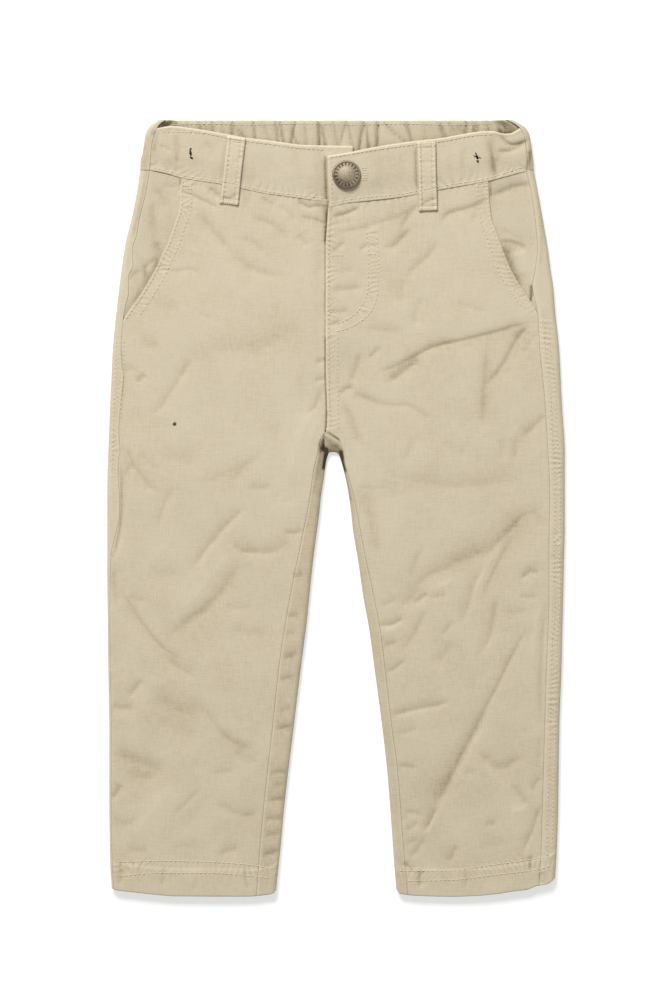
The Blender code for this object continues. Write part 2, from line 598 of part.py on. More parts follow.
def pocket_facing(side):
    """The side piece inside the pocket mouth, running on under the front."""
    inward = -side.sign
    mouth_end = side.mouth[-1].down - FACING_END
    top = side.sections[0].down
    downs = [down for down in leg_rows(side)[0] if down < mouth_end - FACING_ROW_ROOM] + [mouth_end]
    rows = []
    for down in downs:
        seam_x = read(side.sections, "side", down) + inward * SEAM_GAP / 2
        slant = 1.0 - (down - top) / (mouth_end - top)
        end_x = read(side.mouth, "x", down) + inward * FACING_UNDER
        fall = (read(side.waist, "down", end_x) - read(side.waist, "down", seam_x)) * slant
        level = max(down, read(side.waist, "down", seam_x) + SEAM_GAP / 2)
        mouth_x = read(side.mouth, "x", level + fall)
        inner_x = mouth_x + inward * FACING_UNDER
        row = []
        for x in [seam_x + (mouth_x - seam_x) * share for share in FACING_SHARES] + [inner_x]:
            here = level + fall * (x - seam_x) / (inner_x - seam_x)
            sunk = min(1.0, (x - seam_x) / (mouth_x - seam_x))
            sink = FACING_SEAM_SINK + (FACING_SINK - FACING_SEAM_SINK) * sunk
            height = upper_height(side, x, here) - sink
            row.append(((x, here, height), (x, here, height - CLOTH_WALL)))
        rows.append(row)
    return closed_sheet("pocket_facing_" + side.name, rows, FACING_FINISH)


def band_height(side, x):
    """Top of a front band: the button stand sinks, and the lapped end rides over it."""
    if side is RIGHT:
        return BAND_HEIGHT - (BAND_HEIGHT - UNDERLAP_HEIGHT) * ease(x, UNDERLAP_START, UNDERLAP_FULL)
    return BAND_HEIGHT + (OVERLAP_HEIGHT - BAND_HEIGHT) * (1.0 - ease(x, OVERLAP_FULL, OVERLAP_START))


def front_band(side, table, columns, shares, seam_ends, corner, holes=()):
    """A front waistband between its top edge and the waist seam, with rounded long edges."""
    first, last = table[0].x, table[-1].x
    side_end = 1 if side is LEFT else 0
    rows = []
    for share in shares:
        straight_x = (first, last)[side_end] * (1 - share) + seam_ends[side_end] * share
        row = []
        for x in columns:
            along = (x - first) / (last - first)
            seam_x = seam_ends[0] + (seam_ends[1] - seam_ends[0]) * along
            top = Vector((x, read(table, "top", x)))
            seam = Vector((seam_x, read(side.waist, "down", seam_x) - SEAM_GAP / 2))
            spot = top.lerp(seam, share)
            follow = max(0.0, 1.0 - abs(along - side_end) / BAND_CORNER_SHARE)
            spot.x += (read(corner, "seam", spot.y) - side.sign * SEAM_GAP - straight_x) * follow
            height = band_height(side, x)
            if side is LEFT:
                height += fold_relief(BAND_FOLDS, spot.x, spot.y)
            rounded = BAND_EDGE_ROUND if share in (0.0, 1.0) else 0.0
            row.append((
                (spot.x, spot.y, height - rounded),
                (spot.x, spot.y, height - FRONT_BAND_WALL + rounded)))
        rows.append(row)
    return closed_sheet("waistband_front_" + side.name, rows, BAND_FINISH, holes)


def right_front_band():
    """The band on the right, whose end is the button stand under the lapped end."""
    end_x = RIGHT_BAND[-1].x
    places = [RIGHT_BAND[0].x, UNDERLAP_START, UNDERLAP_FULL, end_x - BAND_END_STRIP, end_x]
    columns = subdivided(places, ROW_STEP)
    shares = (0.0, BAND_EDGE_SHARE, 0.35, 0.65, 1.0 - BAND_EDGE_SHARE, 1.0)
    seam_ends = (RIGHT_CORNER[-1].seam, end_x + STAND_SLANT)
    return front_band(RIGHT, RIGHT_BAND, columns, shares, seam_ends, RIGHT_CORNER)


def left_front_band():
    """The band on the left, lapped over at the fly, with its buttonhole round the button's shank."""
    end_x = LEFT_BAND[0].x
    crumpled = [row.x for row in LEFT_BAND if row.x > CRUMPLE_START]
    places = [end_x, end_x + BAND_END_STRIP, BUTTONHOLE_LEFT, BUTTONHOLE_RIGHT, OVERLAP_FULL, CRUMPLE_START]
    columns = subdivided(places + crumpled, ROW_STEP)
    shares = (0.0, BAND_EDGE_SHARE, BUTTONHOLE_TOP, BUTTONHOLE_BOTTOM, 0.78, 1.0 - BAND_EDGE_SHARE, 1.0)
    hole = {(shares.index(BUTTONHOLE_TOP), columns.index(BUTTONHOLE_LEFT))}
    seam_ends = (end_x + LAP_SLANT, LEFT_CORNER[-1].seam)
    return front_band(LEFT, LEFT_BAND, columns, shares, seam_ends, LEFT_CORNER, hole)


def gather(x):
    """1 on a crest of the gathers, -1 in a trough, fading out beyond the last ones."""
    if x <= GATHERS[0] or x >= GATHERS[-1]:
        distance = min(abs(x - GATHERS[0]), abs(x - GATHERS[-1]))
        return -math.cos(math.pi * min(0.5, distance / GATHER_LAST / 2))
    left = max(place for place in GATHERS if place <= x)
    right = min(place for place in GATHERS if place > x)
    return -math.cos(2 * math.pi * (x - left) / (right - left))


def back_band():
    """The elasticated back band, lying on the surface and wrapped round both sides to the front."""
    downs = (*BACK_BAND_ROWS, RIGHT_CORNER[-1].down - SEAM_GAP / 2)
    waves = sorted(GATHERS + tuple((left + right) / 2 for left, right in zip(GATHERS, GATHERS[1:])))
    across = sorted(waves + [(left + right) / 2 for left, right in zip(waves, waves[1:])])
    rows = []
    for down in downs:
        edge_lift = BACK_BAND_ROUND if down == downs[0] else 0.0
        scallop = GATHER_SCALLOP * (1.0 - ease(down, downs[0], downs[0] + GATHER_EDGE))
        row = []
        for corner, sign in ((RIGHT_CORNER, -1), (LEFT_CORNER, 1)):
            rim = Vector((read(corner, "outer", down), down))
            inward = Vector((-sign, 0.0))
            length = abs(read(corner, "seam", down) - rim.x) - SEAM_GAP / 2
            upper = [
                fold_points(rim, inward, reach, BAND_HEIGHT, BACK_BAND_WALL, True, BAND_FOLD_REACH)
                for reach in upper_reaches(length, BAND_FOLD_REACH)]
            lower = [
                fold_points(rim, inward, reach, BAND_HEIGHT, BACK_BAND_WALL, False, BAND_FOLD_REACH)
                for reach in lower_reaches(BAND_FOLD_REACH)]
            if sign < 0:
                row += upper + lower
                for x in across:
                    spot_down = down - scallop * gather(x)
                    height = BACK_BAND_WALL + GATHER_HEIGHT * gather(x) - edge_lift
                    row.append(((x, spot_down, edge_lift), (x, spot_down, height)))
            else:
                row += list(reversed(upper + lower))
        rows.append(row)
    return closed_sheet("waistband_back", rows, BAND_FINISH)


def belt_loop(line):
    """A folded strip over the front band, sewn down at both ends and standing a little off it between."""
    side = RIGHT if line.top_x < 0 else LEFT
    table = RIGHT_BAND if side is RIGHT else LEFT_BAND
    top = Vector((line.top_x, line.top_down))
    end = Vector((line.end_x, line.end_down))
    across = Vector((-(end - top).y, (end - top).x)).normalized()
    rows = []
    for i in range(LOOP_ROWS + 1):
        share = i / LOOP_ROWS
        middle = top.lerp(end, share)
        seam = read(table, "seam", middle.x)
        below = upper_height(side, middle.x, middle.y)
        lowered = ease(middle.y, seam + LOOP_STEP_START, seam + LOOP_STEP_END)
        support = BAND_HEIGHT + (below - BAND_HEIGHT) * lowered
        arch = 0.0 if i in (0, LOOP_ROWS) else math.sin(math.pi * share) ** LOOP_ARCH
        base = support + LOOP_SEAT + LOOP_STAND * arch
        face = base + LOOP_WALL - (LOOP_END_ROUND if i in (0, LOOP_ROWS) else 0.0)
        row = []
        for column in LOOP_COLUMNS:
            spot = middle + across * (LOOP_WIDTH * column.place)
            row.append(((spot.x, spot.y, face + column.rise), (spot.x, spot.y, base)))
        rows.append(row)
    return closed_sheet(line.name, rows, LOOP_FINISH)


def button():
    """The metal tack button, its shank down through the buttonhole to the button stand."""
    shape = bmesh.new()
    foot = UNDERLAP_HEIGHT + SEAM_GAP
    shank = BUTTON_SHANK / BUTTON_DIAMETER
    profile = [Ring(shank, foot), Ring(shank, OVERLAP_HEIGHT + BUTTON_CAP[0].height)]
    profile += [Ring(ring.spread, OVERLAP_HEIGHT + ring.height) for ring in BUTTON_CAP]
    circles = []
    for ring in profile:
        radius = ring.spread * BUTTON_DIAMETER / 2
        circle = []
        for i in range(BUTTON_SIDES):
            angle = 2 * math.pi * i / BUTTON_SIDES
            x = BUTTON_X + radius * math.cos(angle)
            down = BUTTON_DOWN - radius * math.sin(angle)
            circle.append(shape.verts.new(placed((x, down, ring.height))))
        circles.append(circle)
    foot_centre = shape.verts.new(placed((BUTTON_X, BUTTON_DOWN, foot)))
    crown = shape.verts.new(placed((BUTTON_X, BUTTON_DOWN, OVERLAP_HEIGHT + BUTTON_CROWN)))
    for i in range(BUTTON_SIDES):
        j = (i + 1) % BUTTON_SIDES
        for lower, upper in zip(circles, circles[1:]):
            shape.faces.new((lower[i], lower[j], upper[j], upper[i]))
        shape.faces.new((circles[0][j], circles[0][i], foot_centre))
        shape.faces.new((circles[-1][i], circles[-1][j], crown))
    bmesh.ops.recalc_face_normals(shape, faces=shape.faces)
    mesh = bpy.data.meshes.new("button")
    shape.to_mesh(mesh)
    shape.free()
    return finished("button", mesh, METAL_FINISH)


def main():
    for old in list(bpy.data.objects):
        bpy.data.objects.remove(old)
    for side in (RIGHT, LEFT):
        back_leg(side)
        front_leg(side)
        pocket_facing(side)
    right_front_band()
    left_front_band()
    back_band()
    for line in LOOPS:
        belt_loop(line)
    button()


main()
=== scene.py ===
# A toddler's beige chino trousers, laid flat with the front side up.
import math

import bpy
import numpy as np
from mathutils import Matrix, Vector
from mathutils.bvhtree import BVHTree


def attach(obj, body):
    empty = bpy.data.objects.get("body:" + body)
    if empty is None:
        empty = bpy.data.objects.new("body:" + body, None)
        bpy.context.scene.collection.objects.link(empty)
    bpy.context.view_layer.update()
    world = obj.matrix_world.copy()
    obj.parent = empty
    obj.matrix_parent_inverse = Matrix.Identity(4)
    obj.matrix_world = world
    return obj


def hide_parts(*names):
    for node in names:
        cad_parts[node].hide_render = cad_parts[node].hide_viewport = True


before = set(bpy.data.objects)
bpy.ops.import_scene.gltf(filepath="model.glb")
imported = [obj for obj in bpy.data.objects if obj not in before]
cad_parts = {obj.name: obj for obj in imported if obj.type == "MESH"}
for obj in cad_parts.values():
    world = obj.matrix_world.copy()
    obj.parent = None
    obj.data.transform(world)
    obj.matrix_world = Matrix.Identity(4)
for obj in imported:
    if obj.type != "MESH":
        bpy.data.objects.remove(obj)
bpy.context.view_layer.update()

print("frame loaded:", len(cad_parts), "nodes")

# Sizes are in millimetres. x runs to the wearer's left, "down" is the distance below the waistband's top edge.
# Creases and stitch lines are placed on the photograph's own grid: "pixel" is its scale on the cloth.
layout = {"length": 467.0, "pixel": 0.6, "middlePixel": 336.0, "topPixel": 118.6, "photoHeight": 1008}


def fromPhoto(points):
    points = np.array(points, float)
    return (points - (layout["middlePixel"], layout["topPixel"])) * layout["pixel"]


def inMetres(x, down, height):
    return np.stack([x, layout["length"] / 2 - down, height], -1) * 0.001


def columnsOf(rows, names):
    # the named columns of a table; what a short row leaves out is nan
    return {name: np.array([row[i] if i < len(row) else np.nan for row in rows], float)
            for i, name in enumerate(names.split())}


def smoothCurve(places, values):
    # a curve through the rows that never overshoots them
    slopes = np.diff(values) / np.diff(places)
    product = slopes[:-1] * slopes[1:]
    total = np.where(product > 0, slopes[:-1] + slopes[1:], 1.0)
    tangents = np.concatenate([slopes[:1], np.where(product > 0, 2 * product / total, 0.0), slopes[-1:]])

    def at(place):
        place = np.clip(place, places[0], places[-1])
        i = np.clip(np.searchsorted(places, place, "right") - 1, 0, len(places) - 2)
        span = places[i + 1] - places[i]
        t = (place - places[i]) / span
        start = (1 + 2 * t) * (1 - t) ** 2 * values[i] + t * (1 - t) ** 2 * span * tangents[i]
        end = t * t * (3 - 2 * t) * values[i + 1] - t * t * (1 - t) * span * tangents[i + 1]
        return start + end
    return at


def curveThrough(rows):
    places, values = np.array(rows, float).T
    return smoothCurve(places, values)


def ease(value, start, end):
    t = np.clip((value - start) / (end - start), 0, 1)
    return t * t * (3 - 2 * t)


# Rows above the crotch end at the side seam; below it they also give the fold between the legs and the inseam.
legTable = "down outer side rim rimDown inseam inseamDown"

rightLeg = {
    "name": "right", "sign": -1,
    "sections": [
        (30.8, -117.6, -111.9),
        (46.4, -120.0, -114.6),
        (60.8, -123.0, -118.2),
        (69.8, -125.3, -119.6),
        (78.2, -127.0, -122.1),
        (88.4, -128.5, -121.8),
        (95.0, -129.4, -124.6),
        (104.6, -130.6, -124.6),
        (113.0, -131.5, -126.5),
        (119.6, -132.3, -127.6),
        (138.8, -134.1, -129.0),
        (150.8, -134.7, -128.1),
        (156.0, -134.9, -127.5),
        (164.0, -135.3, -128.2),
        (172.0, -135.7, -129.2),
        (188.0, -136.3, -130.3),
        (200.3, -136.8, -129.6, -4.2, 200.3, -6.3, 188.6),
        (203.3, -136.9, -130.4, -5.0, 202.4, -9.4, 192.5),
        (206.6, -137.0, -130.6, -5.9, 205.7, -10.7, 199.4),
        (210.2, -137.2, -130.7, -6.5, 209.6, -12.6, 207.2),
        (215.6, -137.3, -130.7, -7.2, 215.0, -13.9, 214.1),
        (225.8, -137.4, -130.0, -8.9, 225.8, -15.4, 225.2),
        (236.6, -137.4, -129.9, -10.0, 236.6, -17.4, 236.6),
        (249.8, -137.4, -132.3, -11.7, 249.8, -20.1, 249.8),
        (260.6, -137.4, -134.9, -13.2, 260.6, -22.3, 260.6),
        (276.8, -137.4, -135.6, -15.0, 276.8, -25.6, 276.8),
        (300.8, -137.1, -135.8, -17.4, 300.8, -30.0, 300.8),
        (329.0, -136.8, -135.5, -21.0, 329.0, -34.2, 329.0),
        (366.2, -136.2, -134.9, -25.5, 366.2, -38.2, 366.2),
        (408.8, -136.2, -134.9, -30.6, 408.8, -43.0, 408.8),
        (443.6, -135.7, -134.4, -34.1, 443.6, -46.6, 443.6),
        (460.4, -134.7, -133.4, -35.9, 460.4, -47.8, 460.4)],
    "mouth": [(36.3, -93.6), (49.4, -94.0), (56.3, -94.8), (63.8, -97.3), (72.2, -100.2),
              (81.2, -104.4), (91.4, -109.2), (102.2, -115.4), (112.0, -122.1), (119.6, -127.3)],
    "fly": [(49.0, -0.6), (121.0, -0.6), (132.0, -6.2), (150.0, -6.2), (166.0, -5.7), (177.0, -5.4),
            (184.0, -5.6), (188.6, -6.3)],
    "waist": [(-117.6, 30.8), (-111.9, 31.1), (-100.8, 33.2), (-92.4, 35.7), (-68.4, 39.5), (-57.0, 41.8),
              (-42.6, 45.0), (-33.6, 46.2), (-23.4, 47.6), (-6.0, 49.6), (10.8, 49.4)],
    "hem": [(-137.4, 460.1), (-132.0, 463.1), (-121.8, 464.3), (-111.0, 465.5), (-96.0, 466.7),
            (-53.4, 466.9), (-42.6, 466.0), (-37.8, 465.1), (-35.4, 462.2)]}

leftLeg = {
    "name": "left", "sign": 1,
    "sections": [
        (30.8, 118.8, 114.3),
        (46.4, 121.8, 117.6),
        (62.0, 124.5, 119.8),
        (77.6, 127.2, 121.0),
        (91.4, 129.0, 119.4),
        (100.4, 130.4, 117.8),
        (116.0, 131.7, 120.9),
        (138.2, 134.0, 122.4),
        (170.0, 135.6, 125.4),
        (200.3, 137.4, 127.2, -4.2, 200.3, -6.3, 188.6),
        (202.4, 137.4, 127.3, -1.5, 200.0, -1.2, 191.3),
        (204.8, 137.4, 127.5, 0.5, 200.5, 2.2, 193.4),
        (207.5, 137.4, 127.7, 1.9, 202.0, 3.7, 198.3),
        (210.8, 137.4, 127.9, 3.1, 205.4, 4.8, 204.0),
        (215.6, 137.4, 128.1, 4.9, 212.0, 6.6, 211.2),
        (223.4, 137.4, 128.3, 7.1, 222.2, 9.4, 221.6),
        (232.4, 137.4, 128.2, 8.6, 232.4, 11.7, 231.8),
        (246.8, 137.4, 128.0, 10.2, 246.8, 14.6, 246.8),
        (266.6, 136.9, 127.8, 13.5, 266.6, 18.4, 266.6),
        (287.0, 136.5, 127.9, 16.4, 287.0, 22.8, 287.0),
        (305.6, 136.0, 127.4, 19.8, 305.6, 26.4, 305.6),
        (331.4, 135.4, 126.3, 23.3, 331.4, 29.6, 331.4),
        (360.8, 134.3, 125.4, 27.2, 360.8, 33.0, 360.8),
        (390.2, 133.8, 124.6, 30.6, 390.2, 36.9, 390.2),
        (423.2, 133.3, 123.6, 33.3, 423.2, 39.6, 423.2),
        (443.6, 132.7, 123.0, 34.8, 443.6, 41.6, 443.6),
        (460.4, 131.6, 121.8, 36.2, 460.4, 43.0, 460.4)],
    "mouth": [(37.6, 91.6), (48.8, 92.2), (60.2, 93.6), (69.2, 97.0), (78.2, 100.2),
              (90.8, 105.4), (101.0, 111.2), (109.6, 116.8), (116.0, 120.7)],
    "fly": [(49.0, -4.4), (59.0, -5.1), (68.0, -5.7), (76.0, -6.1), (132.0, -6.2), (150.0, -6.2), (166.0, -5.7),
            (177.0, -5.4), (184.0, -5.6), (188.6, -6.3)],
    "waist": [(-5.4, 53.8), (6.0, 50.9), (20.4, 49.3), (38.4, 47.2), (48.6, 45.4), (61.8, 42.8),
              (90.0, 37.8), (112.8, 32.0), (118.8, 30.8)],
    "hem": [(36.0, 462.2), (38.4, 465.2), (48.0, 466.4), (68.4, 467.0), (85.8, 466.4), (97.8, 465.2),
            (105.0, 464.0), (114.6, 462.8), (120.0, 460.7), (127.2, 459.2), (133.2, 454.4)]}

for leg in (rightLeg, leftLeg):
    table = columnsOf(leg["sections"], legTable)
    forked = ~np.isnan(table["rim"])
    leg["top"], leg["straight"] = table["down"][0], table["down"][-1]
    leg["crotch"] = table["down"][forked][0]
    leg["outerAt"] = smoothCurve(table["down"], table["outer"])
    leg["sideAt"] = smoothCurve(table["down"], table["side"])
    for name in ("rim", "rimDown", "inseam", "inseamDown"):
        leg[name + "At"] = smoothCurve(table["down"][forked], table[name][forked])
    for name in ("mouth", "fly", "waist", "hem"):
        leg[name + "At"] = curveThrough(leg[name])

cloth = {
    "wall": 1.0, "seamGap": 0.03, "foldReach": 3.0, "grid": 0.81, "hiddenBlock": 3,
    "levels": [(30.0, 5.8), (110.0, 5.8), (200.0, 5.5), (300.0, 5.2), (467.0, 5.2)],
    "hemDepth": 16.2, "hemTurn": 0.45, "hemTurnRun": 0.9, "hemFollowStart": 50.0, "hemFollowEnd": 18.0,
    "hemRound": 0.7, "edgeRound": 0.55, "seamRound": 0.20, "waistFollow": 40.0,
    "rumple": 0.30, "rumpleSize": 34.0, "fineRumple": 0.10, "fineRumpleSize": 12.0, "seed": 7,
    # how much painted shade and painted highlight the creases, puckers, seam ditches, lower legs, strip and crotch
    # add to the cloth's colour
    "creaseShadeAndHighlight": 0.19, "creaseFull": 0.85, "puckerShadeAndHighlight": 0.40, "seamDitchShade": 0.05, "lowerShade": 0.035,
    "stripShadeLevel": 0.05, "crotchShadeLevel": 0.14, "crotchFade": 60.0}
levelAt = curveThrough(cloth["levels"])

# Creases, on the photograph's grid: points, how far the slope reaches on the side of the light and on the other side,
# depth (below 0 is a trough) and how rounded the line is, the last four in millimetres.
creases = [
    # photo right leg, below the pocket
    ([(532, 321), (516, 325), (500, 330), (480, 335), (460, 340), (440, 345), (424, 350)], 1.1, 4.5, -0.85, 0.2),
    ([(456, 340), (438, 344), (424, 350), (410, 358)], 2.4, 1.6, -0.75, 0.4),
    ([(420, 352), (408, 359), (394, 366), (380, 371)], 1.4, 3.0, -0.48, 0.4),
    ([(420, 357), (408, 366), (398, 374), (387, 381)], 3.2, 2.4, -0.81, 0.7),
    ([(530, 323), (522, 331), (515, 341), (510, 350), (505, 360), (498, 370), (491, 378),
      (483, 386)], 1.3, 3.6, -0.75, 0.3),
    ([(525, 328), (520, 334), (516, 341)], 2.0, 2.0, -0.55, 0.5),
    ([(537, 331), (530, 341), (522, 355)], 1.2, 1.6, -0.26, 0.5),
    ([(487, 348), (486, 360), (485, 372), (484, 386), (483.5, 400), (482.5, 415), (482, 428)],
     1.6, 3.5, -0.62, 0.6),
    ([(545.4, 413.6), (537.4, 420.6), (529.4, 428.6), (521.4, 437.6)], 2.0, 2.6, -0.54, 0.8),
    ([(522, 424), (516, 432), (512, 441)], 1.2, 1.2, 0.28, 0.5),
    ([(516, 438), (515, 448), (514, 460)], 1.6, 2.0, -0.36, 0.7),
    ([(361, 352), (358, 358), (356, 366), (353, 374), (349, 383)], 1.6, 2.4, -0.60, 0.5),
    ([(368, 358), (374, 352), (380, 346)], 1.2, 1.6, -0.45, 0.5),
    ([(340, 396), (343, 390), (348, 386.5), (354, 388)], 1.2, 2.0, -0.60, 0.4),
    ([(354, 391), (362, 396), (372, 399), (382, 405)], 1.8, 2.4, -0.48, 0.5),
    ([(372, 402), (390, 403.5), (408, 404), (420, 411), (433, 419)], 1.6, 2.4, -0.34, 0.8),
    ([(345.2, 403.5), (351.2, 417.4), (356.2, 433.4), (361.2, 447.4)], 1.3, 1.8, -0.75, 0.5),
    ([(345, 412), (351, 428), (357, 448), (361, 474)], 4.0, 4.0, 0.15, 1.6),
    ([(352, 400), (361, 412), (366, 424)], 2.0, 2.0, 0.22, 0.8),
    ([(366, 327), (380, 328.5), (400, 331)], 2.0, 2.2, -0.30, 0.8),
    ([(400, 475), (425, 479), (445, 483), (462, 483), (490, 480), (522, 477)], 4.0, 4.0, -0.42, 1.6),
    ([(358, 487), (372, 487.5), (386, 486)], 1.6, 2.0, -0.22, 0.6),
    ([(396, 482), (394, 490), (394, 500)], 2.4, 2.4, -0.20, 1.0),
    ([(455, 302), (470, 305), (489, 311)], 1.6, 3.0, -0.24, 0.6),
    ([(421, 296), (416, 311), (413, 328)], 1.8, 2.6, -0.34, 0.8),
    ([(401, 300), (398, 316), (396, 330)], 2.0, 2.6, 0.22, 1.2),
    ([(500, 438), (500, 450), (499, 462)], 2.0, 2.0, -0.24, 0.9),
    ([(443, 440), (452, 448), (470, 452)], 3.0, 3.0, -0.22, 1.2),
    ([(418, 434), (410, 446), (404, 462)], 2.0, 2.4, -0.20, 0.9),
    # photo right leg, knee
    ([(530, 507), (518, 519), (508, 530), (498, 541), (490, 548), (478, 551), (468, 556), (456, 560),
      (447, 566), (441, 573), (436, 580)], 5.0, 6.5, -0.75, 1.2),
    ([(528, 509), (514, 524), (502, 537), (492, 546)], 1.2, 1.4, -0.30, 0.4),
    ([(450, 563), (434, 571), (424, 577), (415, 588), (408, 598), (397, 608)], 3.2, 3.4, -0.52, 1.0),
    ([(427, 592.2), (420, 598.2), (413, 603.2)], 2.0, 1.5, -0.70, 0.6),
    ([(424, 584), (416, 591), (409, 599)], 1.0, 1.0, 0.22, 0.3),
    ([(509, 534), (501, 547), (493, 560), (485, 574), (478, 590), (474, 602)], 1.4, 1.4, 0.45, 0.5),
    ([(514, 533), (506, 547), (499, 560), (493, 572), (486, 586), (481, 600)], 1.2, 3.4, -0.45, 0.5),
    ([(486, 565), (478, 575), (472, 588), (468, 602), (464, 613), (460, 624)], 3.0, 1.5, -0.45, 0.7),
    ([(496, 597), (494, 610), (492, 625), (488, 638), (483, 647), (478, 654)], 2.8, 1.5, -0.50, 0.7),
    ([(422, 546), (417, 557), (412, 568), (409, 581)], 1.5, 2.0, -0.32, 0.7),
    ([(456, 579), (447, 586), (436, 590)], 1.4, 1.4, 0.26, 0.5),
    ([(446, 593), (438, 595.5), (430, 596)], 1.6, 2.0, -0.36, 0.6),
    ([(452, 620), (447, 628), (440, 635)], 1.8, 1.6, -0.32, 0.7),
    ([(425, 609), (420, 619), (416, 630), (409, 639), (402, 652)], 2.4, 1.8, -0.39, 0.8),
    ([(452, 640), (444, 652), (432, 662)], 3.4, 3.0, -0.34, 1.4),
    ([(380, 605), (388, 602), (397, 598)], 2.0, 1.6, -0.34, 0.7),
    ([(379, 624), (388, 624.5), (396, 622), (403, 617)], 2.0, 1.1, -0.75, 0.3),
    ([(383, 645), (390, 643), (397, 641)], 1.8, 1.8, -0.42, 0.6),
    ([(383, 634), (390, 633), (398, 630)], 2.0, 2.0, 0.30, 0.8),
    ([(385, 672), (392, 669), (398, 665), (405, 659)], 2.0, 1.1, -0.50, 0.4),
    ([(393, 714), (404, 711), (414, 708.5), (426, 706), (438, 704), (449, 700)], 3.2, 1.3, -0.60, 0.5),
    ([(393, 714), (400, 713), (408, 711)], 1.4, 1.0, -0.30, 0.3),
    ([(398, 732), (408, 730), (417, 727)], 2.0, 1.8, -0.33, 0.8),
    ([(398, 765), (406, 765.5), (417, 767.5)], 1.3, 1.4, -0.46, 0.4),
    ([(403, 811), (414, 811), (425, 817)], 1.6, 2.0, -0.36, 0.6),
    ([(405, 829), (411, 827), (417, 821)], 1.4, 1.6, -0.42, 0.5),
    ([(405, 842), (411, 841), (417, 838)], 1.4, 1.6, -0.28, 0.6),
    ([(520, 579), (526, 573), (532, 569.5), (539, 575)], 1.6, 1.5, -0.64, 0.6),
    ([(519, 595), (529, 596), (538, 596)], 1.6, 2.0, -0.35, 0.7),
    ([(505, 610), (517, 611), (528, 608)], 2.2, 2.2, -0.30, 1.0),
    ([(532, 629), (522, 636), (516, 647), (511, 657), (505, 668), (499, 681), (492, 695), (485, 708),
      (479, 720), (473, 732), (467, 743), (461, 754), (456, 764), (451, 774), (444, 786)], 1.6, 1.4, -0.52, 0.4),
    ([(488, 706), (479, 723), (469, 741), (460, 758), (450, 777), (441, 792), (432, 808)], 6.0, 1.6, -0.70, 0.8),
    ([(452, 776), (443, 792), (434, 806), (428, 818)], 5.0, 3.0, -0.30, 1.2),
    ([(436, 808), (431, 819), (424, 831)], 2.0, 1.0, -0.85, 0.3),
    ([(424, 836), (418, 847), (409, 857)], 1.8, 2.0, -0.45, 0.6),
    ([(448, 792), (440, 795), (433, 798)], 1.4, 1.4, -0.20, 0.5),
    ([(480, 750), (488, 760), (497, 766), (505, 766), (513, 760), (524, 757)], 2.2, 2.0, -0.40, 0.9),
    ([(484, 762), (498, 782), (512, 796)], 1.4, 1.4, 0.26, 0.6),
    ([(514, 784), (521, 795), (529, 804)], 1.6, 1.8, -0.46, 0.6),
    ([(511, 814), (519, 814), (528, 811)], 2.4, 2.4, 0.45, 1.0),
    ([(541, 777), (534, 784), (533, 793)], 1.8, 1.5, -0.46, 0.5),
    ([(541, 804), (536, 817), (532, 830), (527, 841), (522, 853)], 2.0, 1.1, -0.55, 0.4),
    ([(463, 774), (470, 770), (476, 776)], 2.2, 2.2, -0.24, 0.9),
    ([(486, 822), (490, 823), (496, 822)], 1.8, 1.8, -0.45, 0.8),
    ([(544, 604), (539, 618), (536.5, 640), (535, 668)], 1.1, 1.1, 0.30, 0.4),
    ([(546, 600), (543, 625), (541, 655), (540, 690), (540, 722)], 1.6, 1.4, -0.44, 0.6),
    ([(540, 735), (538.5, 750), (538, 765)], 1.6, 1.4, -0.30, 0.6),
    ([(532, 508), (539, 517), (545, 529)], 2.4, 2.4, -0.34, 1.0),
    ([(455, 845), (452, 854), (447, 862)], 1.8, 1.8, -0.50, 0.8),
    ([(478, 845), (492, 843), (506, 838)], 3.0, 3.0, -0.22, 1.4),
    # photo left leg, thigh
    ([(306, 326), (288, 330), (268, 338), (247, 344), (226, 344), (206, 350)], 6.0, 6.0, -0.36, 2.4),
    ([(270, 338), (262, 346), (250, 356)], 4.0, 4.0, -0.14, 1.6),
    ([(191, 359), (184, 368), (179, 377)], 2.2, 1.8, -0.30, 0.7),
    ([(189, 362), (179, 377), (172, 388), (166, 397), (160, 406), (150, 415)], 2.2, 1.8, -0.38, 0.7),
    ([(140, 341), (150, 343), (160, 344)], 3.0, 3.0, -0.30, 1.2),
    ([(123, 371), (132, 368), (140, 372)], 1.8, 1.8, -0.23, 0.8),
    ([(144, 373), (140, 378), (136, 382)], 2.0, 2.0, -0.60, 0.7),
    ([(318, 410), (311, 424), (305, 440), (298, 462), (294, 484)], 5.0, 6.0, 0.62, 1.8),
    ([(320, 420), (316, 430), (312, 442)], 1.2, 1.2, 0.20, 0.5),
    ([(323, 386), (318, 398), (313, 408), (306, 412)], 1.5, 1.6, -0.45, 0.5),
    ([(300, 372), (300, 390), (306, 402)], 1.8, 2.2, -0.22, 0.8),
    ([(316, 362), (321, 360), (326, 358)], 1.4, 1.6, -0.55, 0.6),
    ([(314, 380), (320, 378), (326, 377)], 1.4, 1.6, -0.45, 0.6),
    ([(264, 448), (253, 459), (244, 465), (236, 474), (228, 481)], 2.4, 2.4, -0.25, 0.9),
    ([(196, 480), (212, 478), (228, 470), (242, 465)], 3.0, 3.0, -0.18, 1.3),
    ([(124, 443), (128, 452), (133, 463), (140, 473), (146, 481), (152, 488), (161, 490)], 1.5, 1.6, -0.48, 0.5),
    ([(140, 451), (150, 462), (161, 471)], 2.0, 2.0, -0.26, 0.8),
    ([(123, 478), (127, 470), (132, 463)], 1.4, 1.4, -0.30, 0.5),
    ([(172, 486), (165, 501), (160, 514), (156, 528)], 1.8, 2.0, -0.34, 0.7),
    ([(250, 485), (260, 487.5), (272, 484)], 2.2, 2.0, -0.30, 0.8),
    ([(160, 452), (180, 456), (198, 455)], 4.0, 4.0, -0.28, 1.6),
    ([(270, 506), (285, 514), (300, 512)], 5.0, 5.0, 0.40, 2.0),
    # round the crotch
